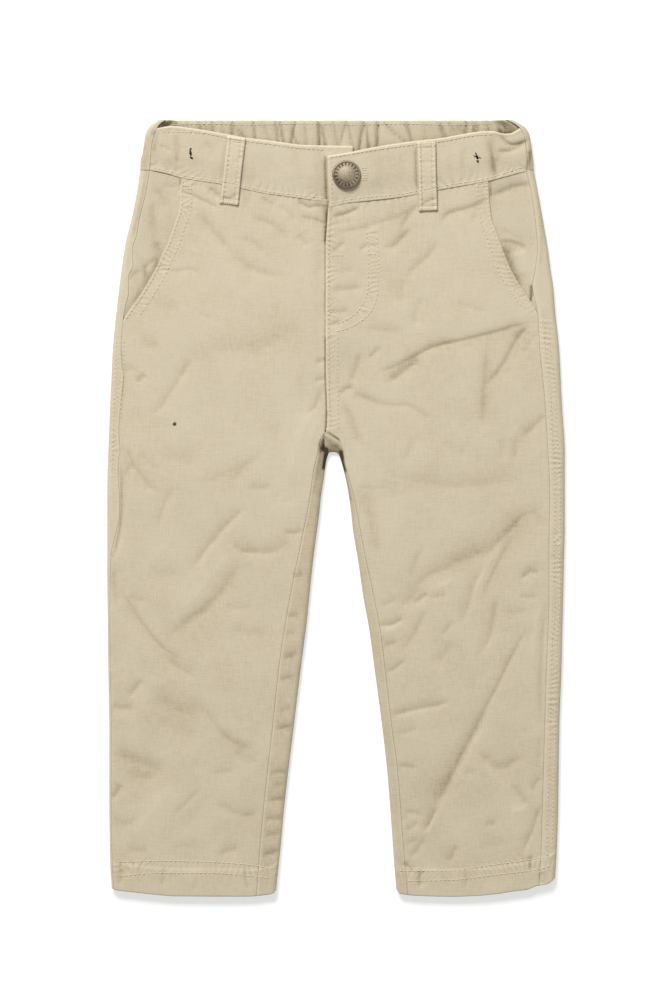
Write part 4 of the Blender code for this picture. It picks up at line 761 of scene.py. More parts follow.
def backLeg(leg, material):
    sign, gap, depth, wall = leg["sign"], cloth["seamGap"], cloth["foldReach"], cloth["wall"]
    downs = legDowns(leg)
    hips = downs < leg["crotch"] - 0.01
    rows = len(downs)
    outer, inner, tones = [], [], []

    def add(rimX, rimDown, wayX, wayDown, reach, upper, seamDistance=None, between=0.0):
        # between is 1 on the strip between the legs, which turns down and is painted darker towards the crotch, as
        # painted shade
        plain, settled = 6.0, (0.5, 6.0)
        x, down = rimX + wayX * reach, rimDown + wayDown * reach
        final = hemPlace(leg, x, down)
        height, tone = clothForm(leg, x, final)
        shade = between * crotchShade(final)
        away = ease(plain if seamDistance is None else seamDistance, *settled)
        height = height - 2.2 * shade * away
        tone = tone - between * stripShade(leg, final) * (0.95 + 0.15 * away)
        # painted shade deep in the fold at the crotch
        tone = tone - shade * 0.10 * np.exp(-reach / 0.8)
        if seamDistance is not None:
            height = height - edgeDrop(seamDistance, cloth["seamRound"]) + 0.08 * bump(seamDistance, 1.2, 0.9)
            # a painted highlight along the roll of the seam, and painted shade in its ditch
            tone = tone + 0.13 * bump(seamDistance, 0.65, 0.45) - 0.07 * bump(seamDistance, 0, 0.25)
        if upper:
            height = height - edgeDrop(leg["straight"] - down, cloth["hemRound"])
        tones.append(tone)
        a, b = foldPoints(rimX, rimDown, wayX, wayDown, reach, height, upper, wall, depth)
        for grid, grids in ((a, outer), (b, inner)):
            grid[..., 1] -= (final - down) * 0.001
            grids.append(grid)

    rimX, one = leg["outerAt"](downs), np.ones(rows)
    strip = np.abs(leg["sideAt"](downs) - rimX) - gap / 2
    rounded = np.minimum(depth, 0.8 * strip)
    flat = strip - rounded
    for step in edgeSteps[:-1]:
        reach = strip - np.minimum(step, flat * 0.5 + 0.2 * rounded)
        add(rimX, downs, -sign * one, 0 * one, reach, True, strip - reach)
    for share in np.linspace(0.25, 1, 6):
        reach = rounded + flat * (1 - share) * 0.8
        add(rimX, downs, -sign * one, 0 * one, np.minimum(reach, strip), True, np.maximum(strip - reach, 0.8))
    for share in roundShares[::-1][1:]:
        add(rimX, downs, -sign * one, 0 * one, rounded * share, True)
    for share in roundShares[1::2]:
        add(rimX, downs, -sign * one, 0 * one, depth * share, False)
    startX = rimX - sign * depth
    rim, inseam = innerEdge(leg, downs)
    way = inseam - rim
    full = np.hypot(*way.T)
    way = way / full[:, None]
    share = (downs - leg["top"]) / (leg["crotch"] - leg["top"])
    endX, endDown = rim[:, 0] + way[:, 0] * depth, rim[:, 1] + way[:, 1] * depth
    # above the crotch the rows lean, so that they meet the fold at its lower end
    forkRow = int(hips.sum())
    centreTop = -1.8 + sign * gap / 2
    lean = np.clip(1 - (leg["crotch"] - downs) / 25.0, 0, 1)
    endX = np.where(hips, centreTop + (endX[forkRow] - centreTop) * share, endX)
    endDown = np.where(hips, downs + (endDown[forkRow] - leg["crotch"]) * lean, endDown)
    endDown = np.maximum.accumulate(endDown)
    for t in np.linspace(0, 1, 26)[1:]:
        x, down = startX + (endX - startX) * t, downs + (endDown - downs) * t
        final = hemPlace(leg, x, down)
        outer.append(inMetres(x, final, 0 * x))
        inner.append(inMetres(x, final, 0 * x + wall))
        tones.append(0 * x)
    forkColumn = len(outer)
    length = full - 0.02
    rounded = np.minimum(depth, 0.8 * length)
    fork = (rim[:, 0], rim[:, 1], way[:, 0], way[:, 1])
    for share in roundShares[::-2][1:]:
        add(*fork, depth * share, False, None, 1.0)
    for share in roundShares[1:]:
        reach = rounded * share
        add(*fork, reach, True, np.maximum(length - reach, 0.8), 1.0)
    flat = length - rounded
    for share in np.linspace(0, 1, 7)[1:]:
        reach = rounded + flat * share * 0.85
        add(*fork, reach, True, np.maximum(length - reach, 0.8), 1.0)
    for step in edgeSteps[:-1][::-1]:
        reach = length - np.minimum(step, flat * 0.15 + 0.05)
        add(*fork, reach, True, length - reach, 1.0)
    outer, inner = np.stack(outer, 1), np.stack(inner, 1)
    for grid in (outer, inner):
        grid[:forkRow, forkColumn:] = np.nan
    return shell("back_" + leg["name"] + "_cloth", outer, inner, material, np.stack(tones, 1))


fly = {"lift": 1.0, "liftReach": 12.0, "sink": 0.7, "sinkStart": 1.0, "sinkReach": 9.0,
       "fadeStart": 136.0, "fadeEnd": 154.0}


def flyChange(leg, x, down):
    # the lapped front rides up beside its edge, and the front under it sinks
    fade = 1 - ease(down, fly["fadeStart"], fly["fadeEnd"])
    fromEdge = np.abs(x - leftLeg["flyAt"](down))
    if leg is leftLeg:
        return fly["lift"] * fade * np.exp(-(fromEdge / fly["liftReach"]) ** 2)
    beyond = x > leftLeg["flyAt"](down)
    return -fly["sink"] * fade * np.where(beyond, 1.0, 1 - ease(fromEdge, fly["sinkStart"], fly["sinkReach"]))


def frontLeg(leg, material):
    sign, gap = leg["sign"], cloth["seamGap"]
    mouthTop, mouthEnd = leg["mouth"][0][0], leg["mouth"][-1][0]
    mouth = np.linspace(mouthTop, mouthEnd, int((mouthEnd - mouthTop) / (cloth["grid"] * 0.8)))
    downs = legDowns(leg)
    downs = downs[downs > mouthEnd + 1.0]
    startDown = np.concatenate([mouth, downs])
    startX = np.concatenate([leg["mouthAt"](mouth), leg["sideAt"](downs) - sign * gap / 2])
    rim, inseam = innerEdge(leg, startDown)
    aside = (inseam - rim) / np.hypot(*(inseam - rim).T)[:, None]
    crotchPoint = innerEdge(leg, np.array([leg["crotch"]]))[1][0]
    waist = leg["waistAt"](leg["flyAt"](mouthTop))
    share = (startDown - mouthTop) / (leg["crotch"] - mouthTop)
    flyDown = waist + (crotchPoint[1] - waist) * share
    hips = startDown < leg["crotch"] - 0.01
    endX = np.where(hips, leg["flyAt"](flyDown) + sign * gap / 2, inseam[:, 0] + aside[:, 0] * 0.02)
    endDown = np.where(hips, flyDown, inseam[:, 1] + aside[:, 1] * 0.02)
    length = np.hypot(endX - startX, endDown - startDown)
    columns = int(112 / cloth["grid"])
    inset = edgeSteps[-1]
    even = np.linspace(0, 1, columns)
    steps = np.concatenate([np.repeat(edgeSteps[:-1][None], len(length), 0),
                            inset + (length[:, None] - 2 * inset) * even,
                            length[:, None] - edgeSteps[:-1][::-1]], 1)
    part = steps / length[:, None]
    x = startX[:, None] + (endX - startX)[:, None] * part
    down = startDown[:, None] + (endDown - startDown)[:, None] * part
    firstDown = startDown[0] + (endDown[0] - startDown[0]) * part
    near = np.clip(1 - (down - firstDown) / cloth["waistFollow"], 0, 1) ** 2
    down = down + (leg["waistAt"](x) + gap / 2 - firstDown) * near
    final = hemPlace(leg, x, down)
    height, tone = clothForm(leg, x, final)
    height = height + flyChange(leg, x, down)
    fromStart, fromEnd = steps, length[:, None] - steps
    isMouth = np.arange(len(length))[:, None] < len(mouth)
    isFly = hips[:, None] & (leg is leftLeg)
    for isEdge, inward, rise in ((isMouth, fromStart, 0.16), (isFly, fromEnd, 0.18)):
        height = height + bump(inward, 1.0, 0.9) * np.where(isEdge, rise, 0.04)
        height = height - np.where(isEdge, edgeDrop(inward, cloth["edgeRound"]),
                                   edgeDrop(inward, cloth["seamRound"]))
    height = height - edgeDrop(leg["straight"] - down, cloth["hemRound"])
    # painted highlight along the lapped fly edge, with painted shade just inside it
    flyHighlightAndShade = 0.21 * bump(fromEnd, 0.5, 0.5) - 0.07 * bump(fromEnd, 1.7, 0.6)
    # a paler pocket mouth edge from wear and a painted highlight, and painted shade in the seam ditches
    tone = tone + np.where(isMouth, rollHighlightWearAndDitchShade(fromStart, 0.05, 0.12), ditchShade(fromStart))
    tone = tone + np.where(isFly, flyHighlightAndShade, ditchShade(fromEnd))
    # painted shade under the waistband seam
    tone = tone - 0.03 * bump(final - leg["waistAt"](x), 0, 0.9)
    if leg is rightLeg:
        # painted shade: a dark line on the cloth just beside the lapped edge of the fly
        tone = tone - 0.34 * hips[:, None] * bump(leftLeg["flyAt"](down) - x, 0.5, 0.55)
    rimX = leg["outerAt"](down)
    outer, inner = foldPoints(rimX, down, -sign + 0 * x, 0 * x, np.abs(x - rimX), height, True,
                              cloth["wall"], cloth["foldReach"])
    shift = (final - down) * 0.001
    outer[..., 1] -= shift
    inner[..., 1] -= shift
    return shell("front_" + leg["name"] + "_cloth", outer, inner, material, tone)


facing = {"under": 8.0, "sink": 0.95, "seamSink": 0.1, "end": 0.6, "step": 0.8}
# creases on the pocket facings, laid out as the creases of the legs are
facingCreases = [
    # photo right
    ([(500, 240.5), (506, 240.5), (514, 242), (521, 244), (528, 250)], 0.9, 4.0, -0.75, 0.3),
    ([(504, 244), (508, 256), (514, 270), (523, 288)], 3.0, 1.6, -0.60, 0.8),
    ([(518, 248), (524, 262), (527, 278)], 3.0, 3.0, 0.55, 1.2),
    ([(490.8, 193.7), (501.5, 190.5), (512, 186), (532.7, 182.4)], 1.7, 3.0, -1.00, 0.6),
    ([(500, 229), (512, 233), (526, 241)], 1.4, 2.0, -0.26, 0.5),
    ([(491, 186), (492, 200), (495, 216)], 1.0, 2.4, -0.20, 0.5),
    ([(533, 284), (530.5, 292), (531, 300)], 1.1, 1.1, -0.60, 0.4),
    ([(540, 250), (537, 268), (533, 286)], 1.2, 1.2, 0.12, 0.5),
    # photo left
    ([(156.8, 188), (160, 195), (163, 202), (166.5, 210)], 1.5, 1.8, -0.40, 0.5),
    ([(150, 200), (152, 222), (155, 246)], 2.6, 2.6, -0.36, 1.0),
    ([(166, 190), (170, 206), (168, 222)], 2.4, 2.4, -0.16, 0.9),
    ([(156, 241), (159, 249), (162, 256), (163, 263)], 2.0, 1.6, -0.65, 0.5),
    ([(157, 256), (150, 262), (144, 268), (146, 276), (150, 283)], 1.4, 1.6, -0.45, 0.4),
    ([(158, 262), (152, 272), (142, 286)], 1.8, 1.8, -0.25, 0.6),
    ([(129, 281), (134, 273), (141, 270)], 1.2, 1.6, -0.40, 0.4),
    ([(162, 184), (172, 186), (180, 186)], 1.6, 1.6, -0.26, 0.6),
    ([(134, 300), (142, 288), (148, 278)], 1.5, 2.0, -0.15, 0.7)]


def pocketFacing(leg, material):
    sign, gap = leg["sign"], cloth["seamGap"]
    end = leg["mouth"][-1][0] - facing["end"]
    downs = np.linspace(leg["top"], end, int((end - leg["top"]) / facing["step"]))
    seamX = leg["sideAt"](downs) - sign * gap / 2
    slant = 1 - (downs - leg["top"]) / (end - leg["top"])
    endX = leg["mouthAt"](downs) - sign * facing["under"]
    fall = (leg["waistAt"](endX) - leg["waistAt"](seamX)) * slant
    level = np.maximum(downs, leg["waistAt"](seamX) + gap / 2)
    mouthX = leg["mouthAt"](level + fall)
    innerX = mouthX - sign * facing["under"]
    shares = np.concatenate([[0, 0.01, 0.025, 0.05], np.linspace(0.09, 1, 30)])
    x = seamX[:, None] + (innerX - seamX)[:, None] * shares
    down = level[:, None] + fall[:, None] * shares
    seamDistance = np.abs(x - seamX[:, None])
    sunk = np.clip(seamDistance / np.abs(mouthX - seamX)[:, None], 0, 1)
    height, tone = clothForm(leg, x, down)
    relief, shade = creaseRelief(facingCreases, x, down)
    sink = facing["seamSink"] + (facing["sink"] - facing["seamSink"]) * sunk
    height = height - sink * (1 - 0.5 * np.exp(-(down - leg["waistAt"](x)) / 6.0))
    height = height + relief - edgeDrop(seamDistance, cloth["seamRound"])
    underEdge = np.abs(mouthX - seamX)[:, None] - seamDistance
    # painted shade of the facing's creases, a painted highlight and shade at its seam, and painted shade under the
    # pocket mouth
    tone = tone + creaseShadeAndHighlight(shade) + rollHighlightWearAndDitchShade(seamDistance) - 0.06 * np.exp(-np.abs(underEdge) / 1.6)
    rimX = leg["outerAt"](down)
    outer, inner = foldPoints(rimX, down, -sign + 0 * x, 0 * x, np.abs(x - rimX), height, True,
                              cloth["wall"], cloth["foldReach"])
    return shell("facing_" + leg["name"] + "_cloth", outer, inner, material, tone)


waistband = {
    "height": 7.0, "underlapHeight": 5.5, "overlapHeight": 8.2, "seamFall": 0.9, "wall": 2.2, "edgeRound": 0.9,
    "tall": 31.0, "underlapStart": -15.0, "underlapFull": -6.4, "overlapFull": 17.5, "overlapStart": 38.0,
    # the buttonhole: its two ends along the band, and its two sides as shares of the band's height
    "buttonhole": (3.2, 9.6, 0.36, 0.50),
    # sides and tops: down, outer edge and side seam; then places along the top edge and how far down it is
    "rightCorner": [(0.8, -106.8, -102.0), (3.2, -110.4, -105.6), (5.6, -112.8, -107.3), (9.2, -114.3, -108.8),
                    (14.0, -115.2, -110.1), (20.0, -116.1, -111.0), (24.8, -117.3, -111.3),
                    (30.8, -117.6, -111.9)],
    "leftCorner": [(0.8, 106.2, 102.0), (3.2, 111.0, 107.1), (5.6, 114.0, 110.1), (9.2, 116.1, 112.5),
                   (14.0, 117.0, 113.6), (20.0, 117.8, 114.2), (24.8, 118.5, 114.7), (30.8, 118.8, 114.6)],
    "rightTop": [(-107.1, 5.7), (-99.6, 4.4), (-83.4, 6.2), (-66.0, 9.2), (-52.8, 11.6), (-42.6, 12.8),
                 (-33.6, 14.0), (-19.8, 15.7), (-6.0, 16.0), (10.2, 16.2)],
    "leftTop": [(-5.4, 22.4), (6.0, 20.6), (20.4, 17.6), (38.4, 14.6), (47.4, 13.4), (61.2, 11.9),
                (84.0, 8.0), (90.0, 7.4), (94.8, 7.6), (98.1, 8.5), (100.2, 9.0), (103.2, 8.8),
                (106.2, 7.4), (109.7, 5.7)]}

bandCreases = [
    ([(490, 131), (497, 135.4), (501, 139), (504, 140.4)], 0.9, 0.8, 0.50, 0.25),
    ([(499.4, 132.4), (501.6, 136.4), (504.7, 140), (511.2, 144.3), (520, 143),
      (527.3, 138.9)], 0.9, 1.5, -1.35, 0.3),
    ([(496, 150.7), (503, 150.6), (511, 149), (519, 145.5), (527, 140.5)], 1.2, 1.9, -0.95, 0.4),
    ([(487, 139), (490, 150), (493, 160), (495, 170), (497, 178)], 1.8, 1.6, -0.80, 0.5),
    ([(495, 158), (496, 168), (497, 177)], 1.1, 1.1, -0.35, 0.4),
    ([(533, 146), (530, 156), (527, 166), (526, 176)], 1.2, 1.2, -0.75, 0.4),
    ([(508, 134), (514, 130), (519, 124)], 1.2, 1.4, 0.02, 0.4),
    ([(462, 148), (463, 160), (462, 172)], 1.4, 1.6, -0.32, 0.6),
    ([(446, 156), (450, 166), (446, 176)], 2.4, 2.4, -0.16, 1.0),
    ([(398, 150), (402, 166), (398, 184)], 3.0, 3.0, -0.16, 1.4),
    ([(374, 156), (378, 172), (374, 192)], 3.0, 3.0, -0.16, 1.4),
    ([(251, 152), (253, 168), (250, 184)], 3.0, 3.0, -0.20, 1.2),
    ([(294, 148), (297, 164), (302, 184)], 2.6, 2.6, -0.26, 1.0),
    ([(268, 152), (272, 164), (280, 176)], 2.4, 2.4, -0.20, 1.0),
    ([(308, 176), (310, 186), (308, 196)], 1.8, 1.8, -0.22, 0.8),
    ([(323.5, 156), (324, 176), (325.5, 200)], 1.2, 0.9, -0.45, 0.3),
    ([(175, 134), (178, 148), (176, 166)], 1.6, 2.0, -0.42, 0.6),
    ([(160, 144), (166, 147), (171, 151)], 1.3, 1.6, -0.36, 0.5),
    ([(155, 131), (153, 133.6), (150.7, 135.7)], 1.0, 1.2, -0.50, 0.4),
    ([(204, 140), (212, 148), (216, 160)], 1.8, 1.8, -0.22, 0.8),
    ([(168, 158), (172, 164), (176, 172)], 1.4, 1.4, -0.30, 0.6),
    ([(248, 142), (246, 160), (242, 188)], 0.9, 1.6, -0.20, 0.4),
    ([(225, 140), (223, 160), (220, 184)], 0.9, 0.9, -0.30, 0.4),
    ([(415, 144), (415.5, 170), (417, 194)], 1.0, 0.9, -0.60, 0.4),
    ([(438, 142), (439, 166), (440, 190)], 0.9, 1.6, -0.15, 0.5)]

bandPuckers = [
    ([(158, 131), (197, 132), (248, 141), (303, 148), (345, 148)], 2.6, 0.15, 4.4),
    ([(327, 158), (370, 151), (438, 141), (492, 134)], 2.6, 0.15, 4.4),
    ([(152, 166), (182, 174), (241, 184), (297, 194), (326, 198)], 3.4, 0.20, 4.8),
    ([(329, 204), (370, 197), (417, 191), (439, 186), (486, 178), (524, 166)], 3.4, 0.20, 4.8)]


# painted shade on the bands, with a few painted highlights, laid out as the shadows of the legs are
bandShadows = [
    ([(156, 134), (155, 141), (154, 149)], 1.8, -0.18),
    ([(149, 138), (145, 150), (143.5, 166)], 1.8, -0.12),
    ([(491.5, 138), (491.5, 158), (492, 178)], 1.9, -0.10),
    ([(493, 158), (494, 177)], 1.1, -0.09),
    ([(529.4, 152), (529.6, 162), (529.2, 172)], 1.3, -0.26),
    ([(533, 148), (536, 160), (537, 170)], 1.6, -0.06),
    ([(415.8, 148), (416.2, 170), (417, 192)], 0.6, -0.16),
    ([(325.2, 157), (325.6, 176), (326.4, 198)], 0.8, -0.34),
    ([(491, 131.4), (497, 135.6), (501, 139), (504, 140.6)], 0.6, 0.12),
    ([(505, 139.6), (511, 136.4), (517, 132)], 0.7, 0.08),
    ([(175, 138), (176, 158)], 1.3, -0.06)]
# painted shade inside the back band, with one painted highlight
insideShadows = [
    ([(162.5, 122.5), (164.5, 125.5)], 1.2, -0.20),
    ([(170, 122), (176, 122)], 0.9, -0.22),
    ([(500.5, 131.5), (511, 131.8)], 1.0, -0.60),
    ([(503.6, 123.6), (504.6, 127)], 0.9, -0.38),
    ([(511, 121.6), (516, 123.4)], 1.6, 0.10),
    ([(514, 130.6), (518, 128)], 0.5, -0.12)]


def bandHeight(leg, x):
    if leg is rightLeg:
        sunk = ease(x, waistband["underlapStart"], waistband["underlapFull"])
        return waistband["height"] - (waistband["height"] - waistband["underlapHeight"]) * sunk
    raised = 1 - ease(x, waistband["overlapFull"], waistband["overlapStart"])
    return waistband["height"] + (waistband["overlapHeight"] - waistband["height"]) * raised


def cornerAt(leg, column):
    rows = np.array(waistband[leg["name"] + "Corner"]).T
    return smoothCurve(rows[0], rows[1 + column])


def bandPoint(leg, x, share):
    # where a place along a front band and a share of its height lie
    rows = np.array(waistband[leg["name"] + "Top"])
    first, last = rows[0, 0], rows[-1, 0]
    cornerSeam = waistband[leg["name"] + "Corner"][-1][2]
    seamEnds = (cornerSeam, last + 0.6) if leg is rightLeg else (first + 1.0, cornerSeam)
    sideEnd = 1 if leg is leftLeg else 0
    along = (x - first) / (last - first)
    seamX = seamEnds[0] + (seamEnds[1] - seamEnds[0]) * along
    topDown = curveThrough(waistband[leg["name"] + "Top"])(x)
    seamDown = leg["waistAt"](seamX) - cloth["seamGap"] / 2
    spotX, spotDown = x + (seamX - x) * share, topDown + (seamDown - topDown) * share
    straight = (first, last)[sideEnd] * (1 - share) + seamEnds[sideEnd] * share
    follow = np.clip(1 - np.abs(along - sideEnd) / 0.12, 0, 1)
    spotX = spotX + (cornerAt(leg, 1)(spotDown) - leg["sign"] * cloth["seamGap"] - straight) * follow
    return spotX, spotDown


def frontBand(leg, material, buttonhole=None):
    rows = np.array(waistband[leg["name"] + "Top"])
    first, last = rows[0, 0], rows[-1, 0]
    inset = np.array([0.0, 0.1, 0.3, 0.6, 1.0])
    middle = fillBetween([first + inset[-1], last - inset[-1]], 0.72)
    places = np.concatenate([first + inset[:-1], middle, last - inset[:-1][::-1]])
    edge = np.array([0.0, 0.004, 0.012, 0.024, 0.04])
    shares = np.concatenate([edge[:-1], np.linspace(0.04, 0.96, 42), 1 - edge[:-1][::-1]])
    x, share = np.meshgrid(places, shares)
    spotX, spotDown = bandPoint(leg, x, share)
    relief, shade = creaseRelief(bandCreases, spotX, spotDown)
    pucker = puckerRelief(bandPuckers, spotX, spotDown)
    raised = np.maximum(bandHeight(leg, x) - waistband["height"], 0)
    height = bandHeight(leg, x) + relief + pucker - (waistband["seamFall"] + 0.5 * raised) * ease(share, 0.5, 1.0)
    height = height + 0.14 * ripple(spotX, spotDown, 16.0, 51) + 0.06 * ripple(spotX, spotDown, 6.0, 52)
    fromTop, fromSeam = share * waistband["tall"], (1 - share) * waistband["tall"]
    rounding = edgeDrop(fromTop, waistband["edgeRound"]) + edgeDrop(fromSeam, cloth["seamRound"])
    sideEnd, freeEnd = (last - x, x - first) if leg is leftLeg else (x - first, last - x)
    rounding = rounding + edgeDrop(sideEnd, cloth["seamRound"]) + edgeDrop(freeEnd, 0.8)
    roll = 0.26 * bump(fromTop, 1.3, 0.9) + 0.12 * bump(fromSeam, 1.0, 0.7)
    # painted shade and highlight of the band's creases and puckers, and its painted shadows
    tone = creaseShadeAndHighlight(shade) + cloth["puckerShadeAndHighlight"] * pucker + shadowTone(bandShadows, spotX, spotDown)
    # painted highlights along the top edge and the lower seam
    tone = tone + 0.20 * bump(fromTop, 0.5, 0.6) + 0.05 * np.exp(-fromTop / 5.0) + 0.16 * bump(fromSeam, 0.5, 0.45)
    if leg is leftLeg:
        # painted highlight on the lapped end, with painted shade at its very edge
        tone = tone + rollHighlightWearAndDitchShade(x - first, 0.12, 0.20)
        roll = roll + 0.25 * bump(x - first, 1.0, 0.8)
    else:
        # in the shade of the lapped end
        tone = tone - 0.08 * bump(x, waistband["leftTop"][0][0], 2.0) * ease(share, 0.1, 0.3)
    outer = inMetres(spotX, spotDown, height + roll - rounding)
    inner = inMetres(spotX, spotDown, bandHeight(leg, x) - waistband["wall"] + 0.6 * rounding)
    hole = None
    if buttonhole:
        left, right, top, bottom = buttonhole
        middleX, middleShare = (x[:-1, :-1] + x[1:, 1:]) / 2, (share[:-1, :-1] + share[1:, 1:]) / 2
        hole = (middleX > left) & (middleX < right) & (middleShare > top) & (middleShare < bottom)
    return shell("band_front_" + leg["name"] + "_cloth", outer, inner, material, tone, hole)


# Gathers of the elastic, laid out as the creases of the legs are
gathers = [
    ([(164, 116), (165, 130), (165, 160)], 0.62, 0.62, -0.75, 0.24),
    ([(176, 116), (177, 132), (176, 160)], 0.62, 0.74, -0.82, 0.24),
    ([(188, 116), (187, 132), (188, 160)], 0.62, 0.68, -0.58, 0.30),
    ([(199, 116), (200, 134), (201, 160)], 0.62, 0.62, -1.08, 0.24),
    ([(206, 116), (206, 132), (205, 160)], 0.50, 0.50, -0.49, 0.24),
    ([(212, 114), (213, 134), (215, 160)], 0.68, 0.68, -1.40, 0.24),
    ([(222, 116), (223, 136), (222, 160)], 0.62, 0.62, -0.49, 0.30),
    ([(233, 116), (232, 134), (230, 160)], 0.87, 0.87, -1.40, 0.30),
    ([(236, 126), (243, 136), (250, 150)], 0.99, 0.87, -1.16, 0.30),
    ([(253, 114), (255, 136), (258, 160)], 0.56, 0.81, -1.24, 0.24),
    ([(262, 118), (270, 144), (276, 162)], 0.56, 0.62, -0.49, 0.30),
    ([(275, 116), (278, 142), (280, 162)], 0.50, 0.50, -1.32, 0.18),
    ([(279, 113), (283, 138), (287, 164)], 0.62, 0.62, -1.61, 0.18),
    ([(297, 113), (292, 138), (288, 164)], 0.56, 0.68, -1.40, 0.18),
    ([(291, 128), (296, 140), (303, 156)], 0.56, 0.62, -0.99, 0.24),
    ([(304, 116), (306, 142), (306, 160)], 0.62, 0.62, -0.42, 0.36),
    ([(318, 112), (319, 138), (319, 166)], 0.62, 0.62, -1.65, 0.18),
    ([(320, 118), (325, 142), (328, 164)], 0.56, 0.68, -1.40, 0.24),
    ([(332, 116), (336, 138), (338, 160)], 0.62, 0.62, -0.66, 0.24),
    ([(348, 116), (343, 132), (338, 152)], 0.56, 0.62, -0.66, 0.24),
    ([(347, 118), (351, 138), (354, 156)], 0.50, 0.56, -0.82, 0.24),
    ([(366, 112), (360, 142), (357, 166)], 0.62, 0.68, -1.65, 0.18),
    ([(366, 118), (368, 140), (370, 164)], 0.62, 0.68, -1.57, 0.18),
    ([(378.5, 110), (377.5, 134), (376, 166)], 0.74, 0.81, -1.65, 0.24),
    ([(381, 118), (392, 130), (408, 143), (420, 152)], 0.50, 0.62, -0.99, 0.18),
    ([(403, 117), (404, 122), (407, 128)], 0.50, 0.50, -1.16, 0.18),
    ([(407, 118), (409, 132), (414, 146), (418, 160)], 0.62, 0.74, -1.50, 0.18),
    ([(424, 116), (425, 138), (424, 160)], 0.81, 0.81, -0.26, 0.48),
    ([(438, 112), (443, 130), (450, 146), (454, 162)], 0.74, 0.81, -1.61, 0.24),
    ([(448, 118), (454, 128), (464, 124)], 0.50, 0.50, -0.82, 0.18),
    ([(448, 130), (457, 132), (466, 127)], 0.50, 0.62, -0.75, 0.24),
    ([(468, 112), (466, 130), (464, 160)], 0.62, 0.68, -1.57, 0.24),
    ([(473, 116), (474, 130), (476, 156)], 0.56, 0.56, -0.91, 0.24),
    ([(478, 114), (477, 132), (476, 158)], 0.62, 0.62, -1.32, 0.24),
    ([(480, 122), (490, 121.6), (500, 122)], 0.37, 0.37, -0.66, 0.12),
    ([(489, 116), (488, 132), (490, 156)], 0.62, 0.62, -0.66, 0.30),
    ([(498, 118), (500, 132), (502, 156)], 0.62, 0.62, -0.99, 0.24)]


# the last value darkens the whole inside of the back band a little, as painted shade
inside = {"wall": 2.0, "foldReach": 3.2, "columns": 520, "highest": 0.95, "lowest": 0.85, "cornerRise": 1.8,
          "edgeRoll": 1.5, "scallop": 0.34, "besideStep": 1.3, "evenShade": 0.055}


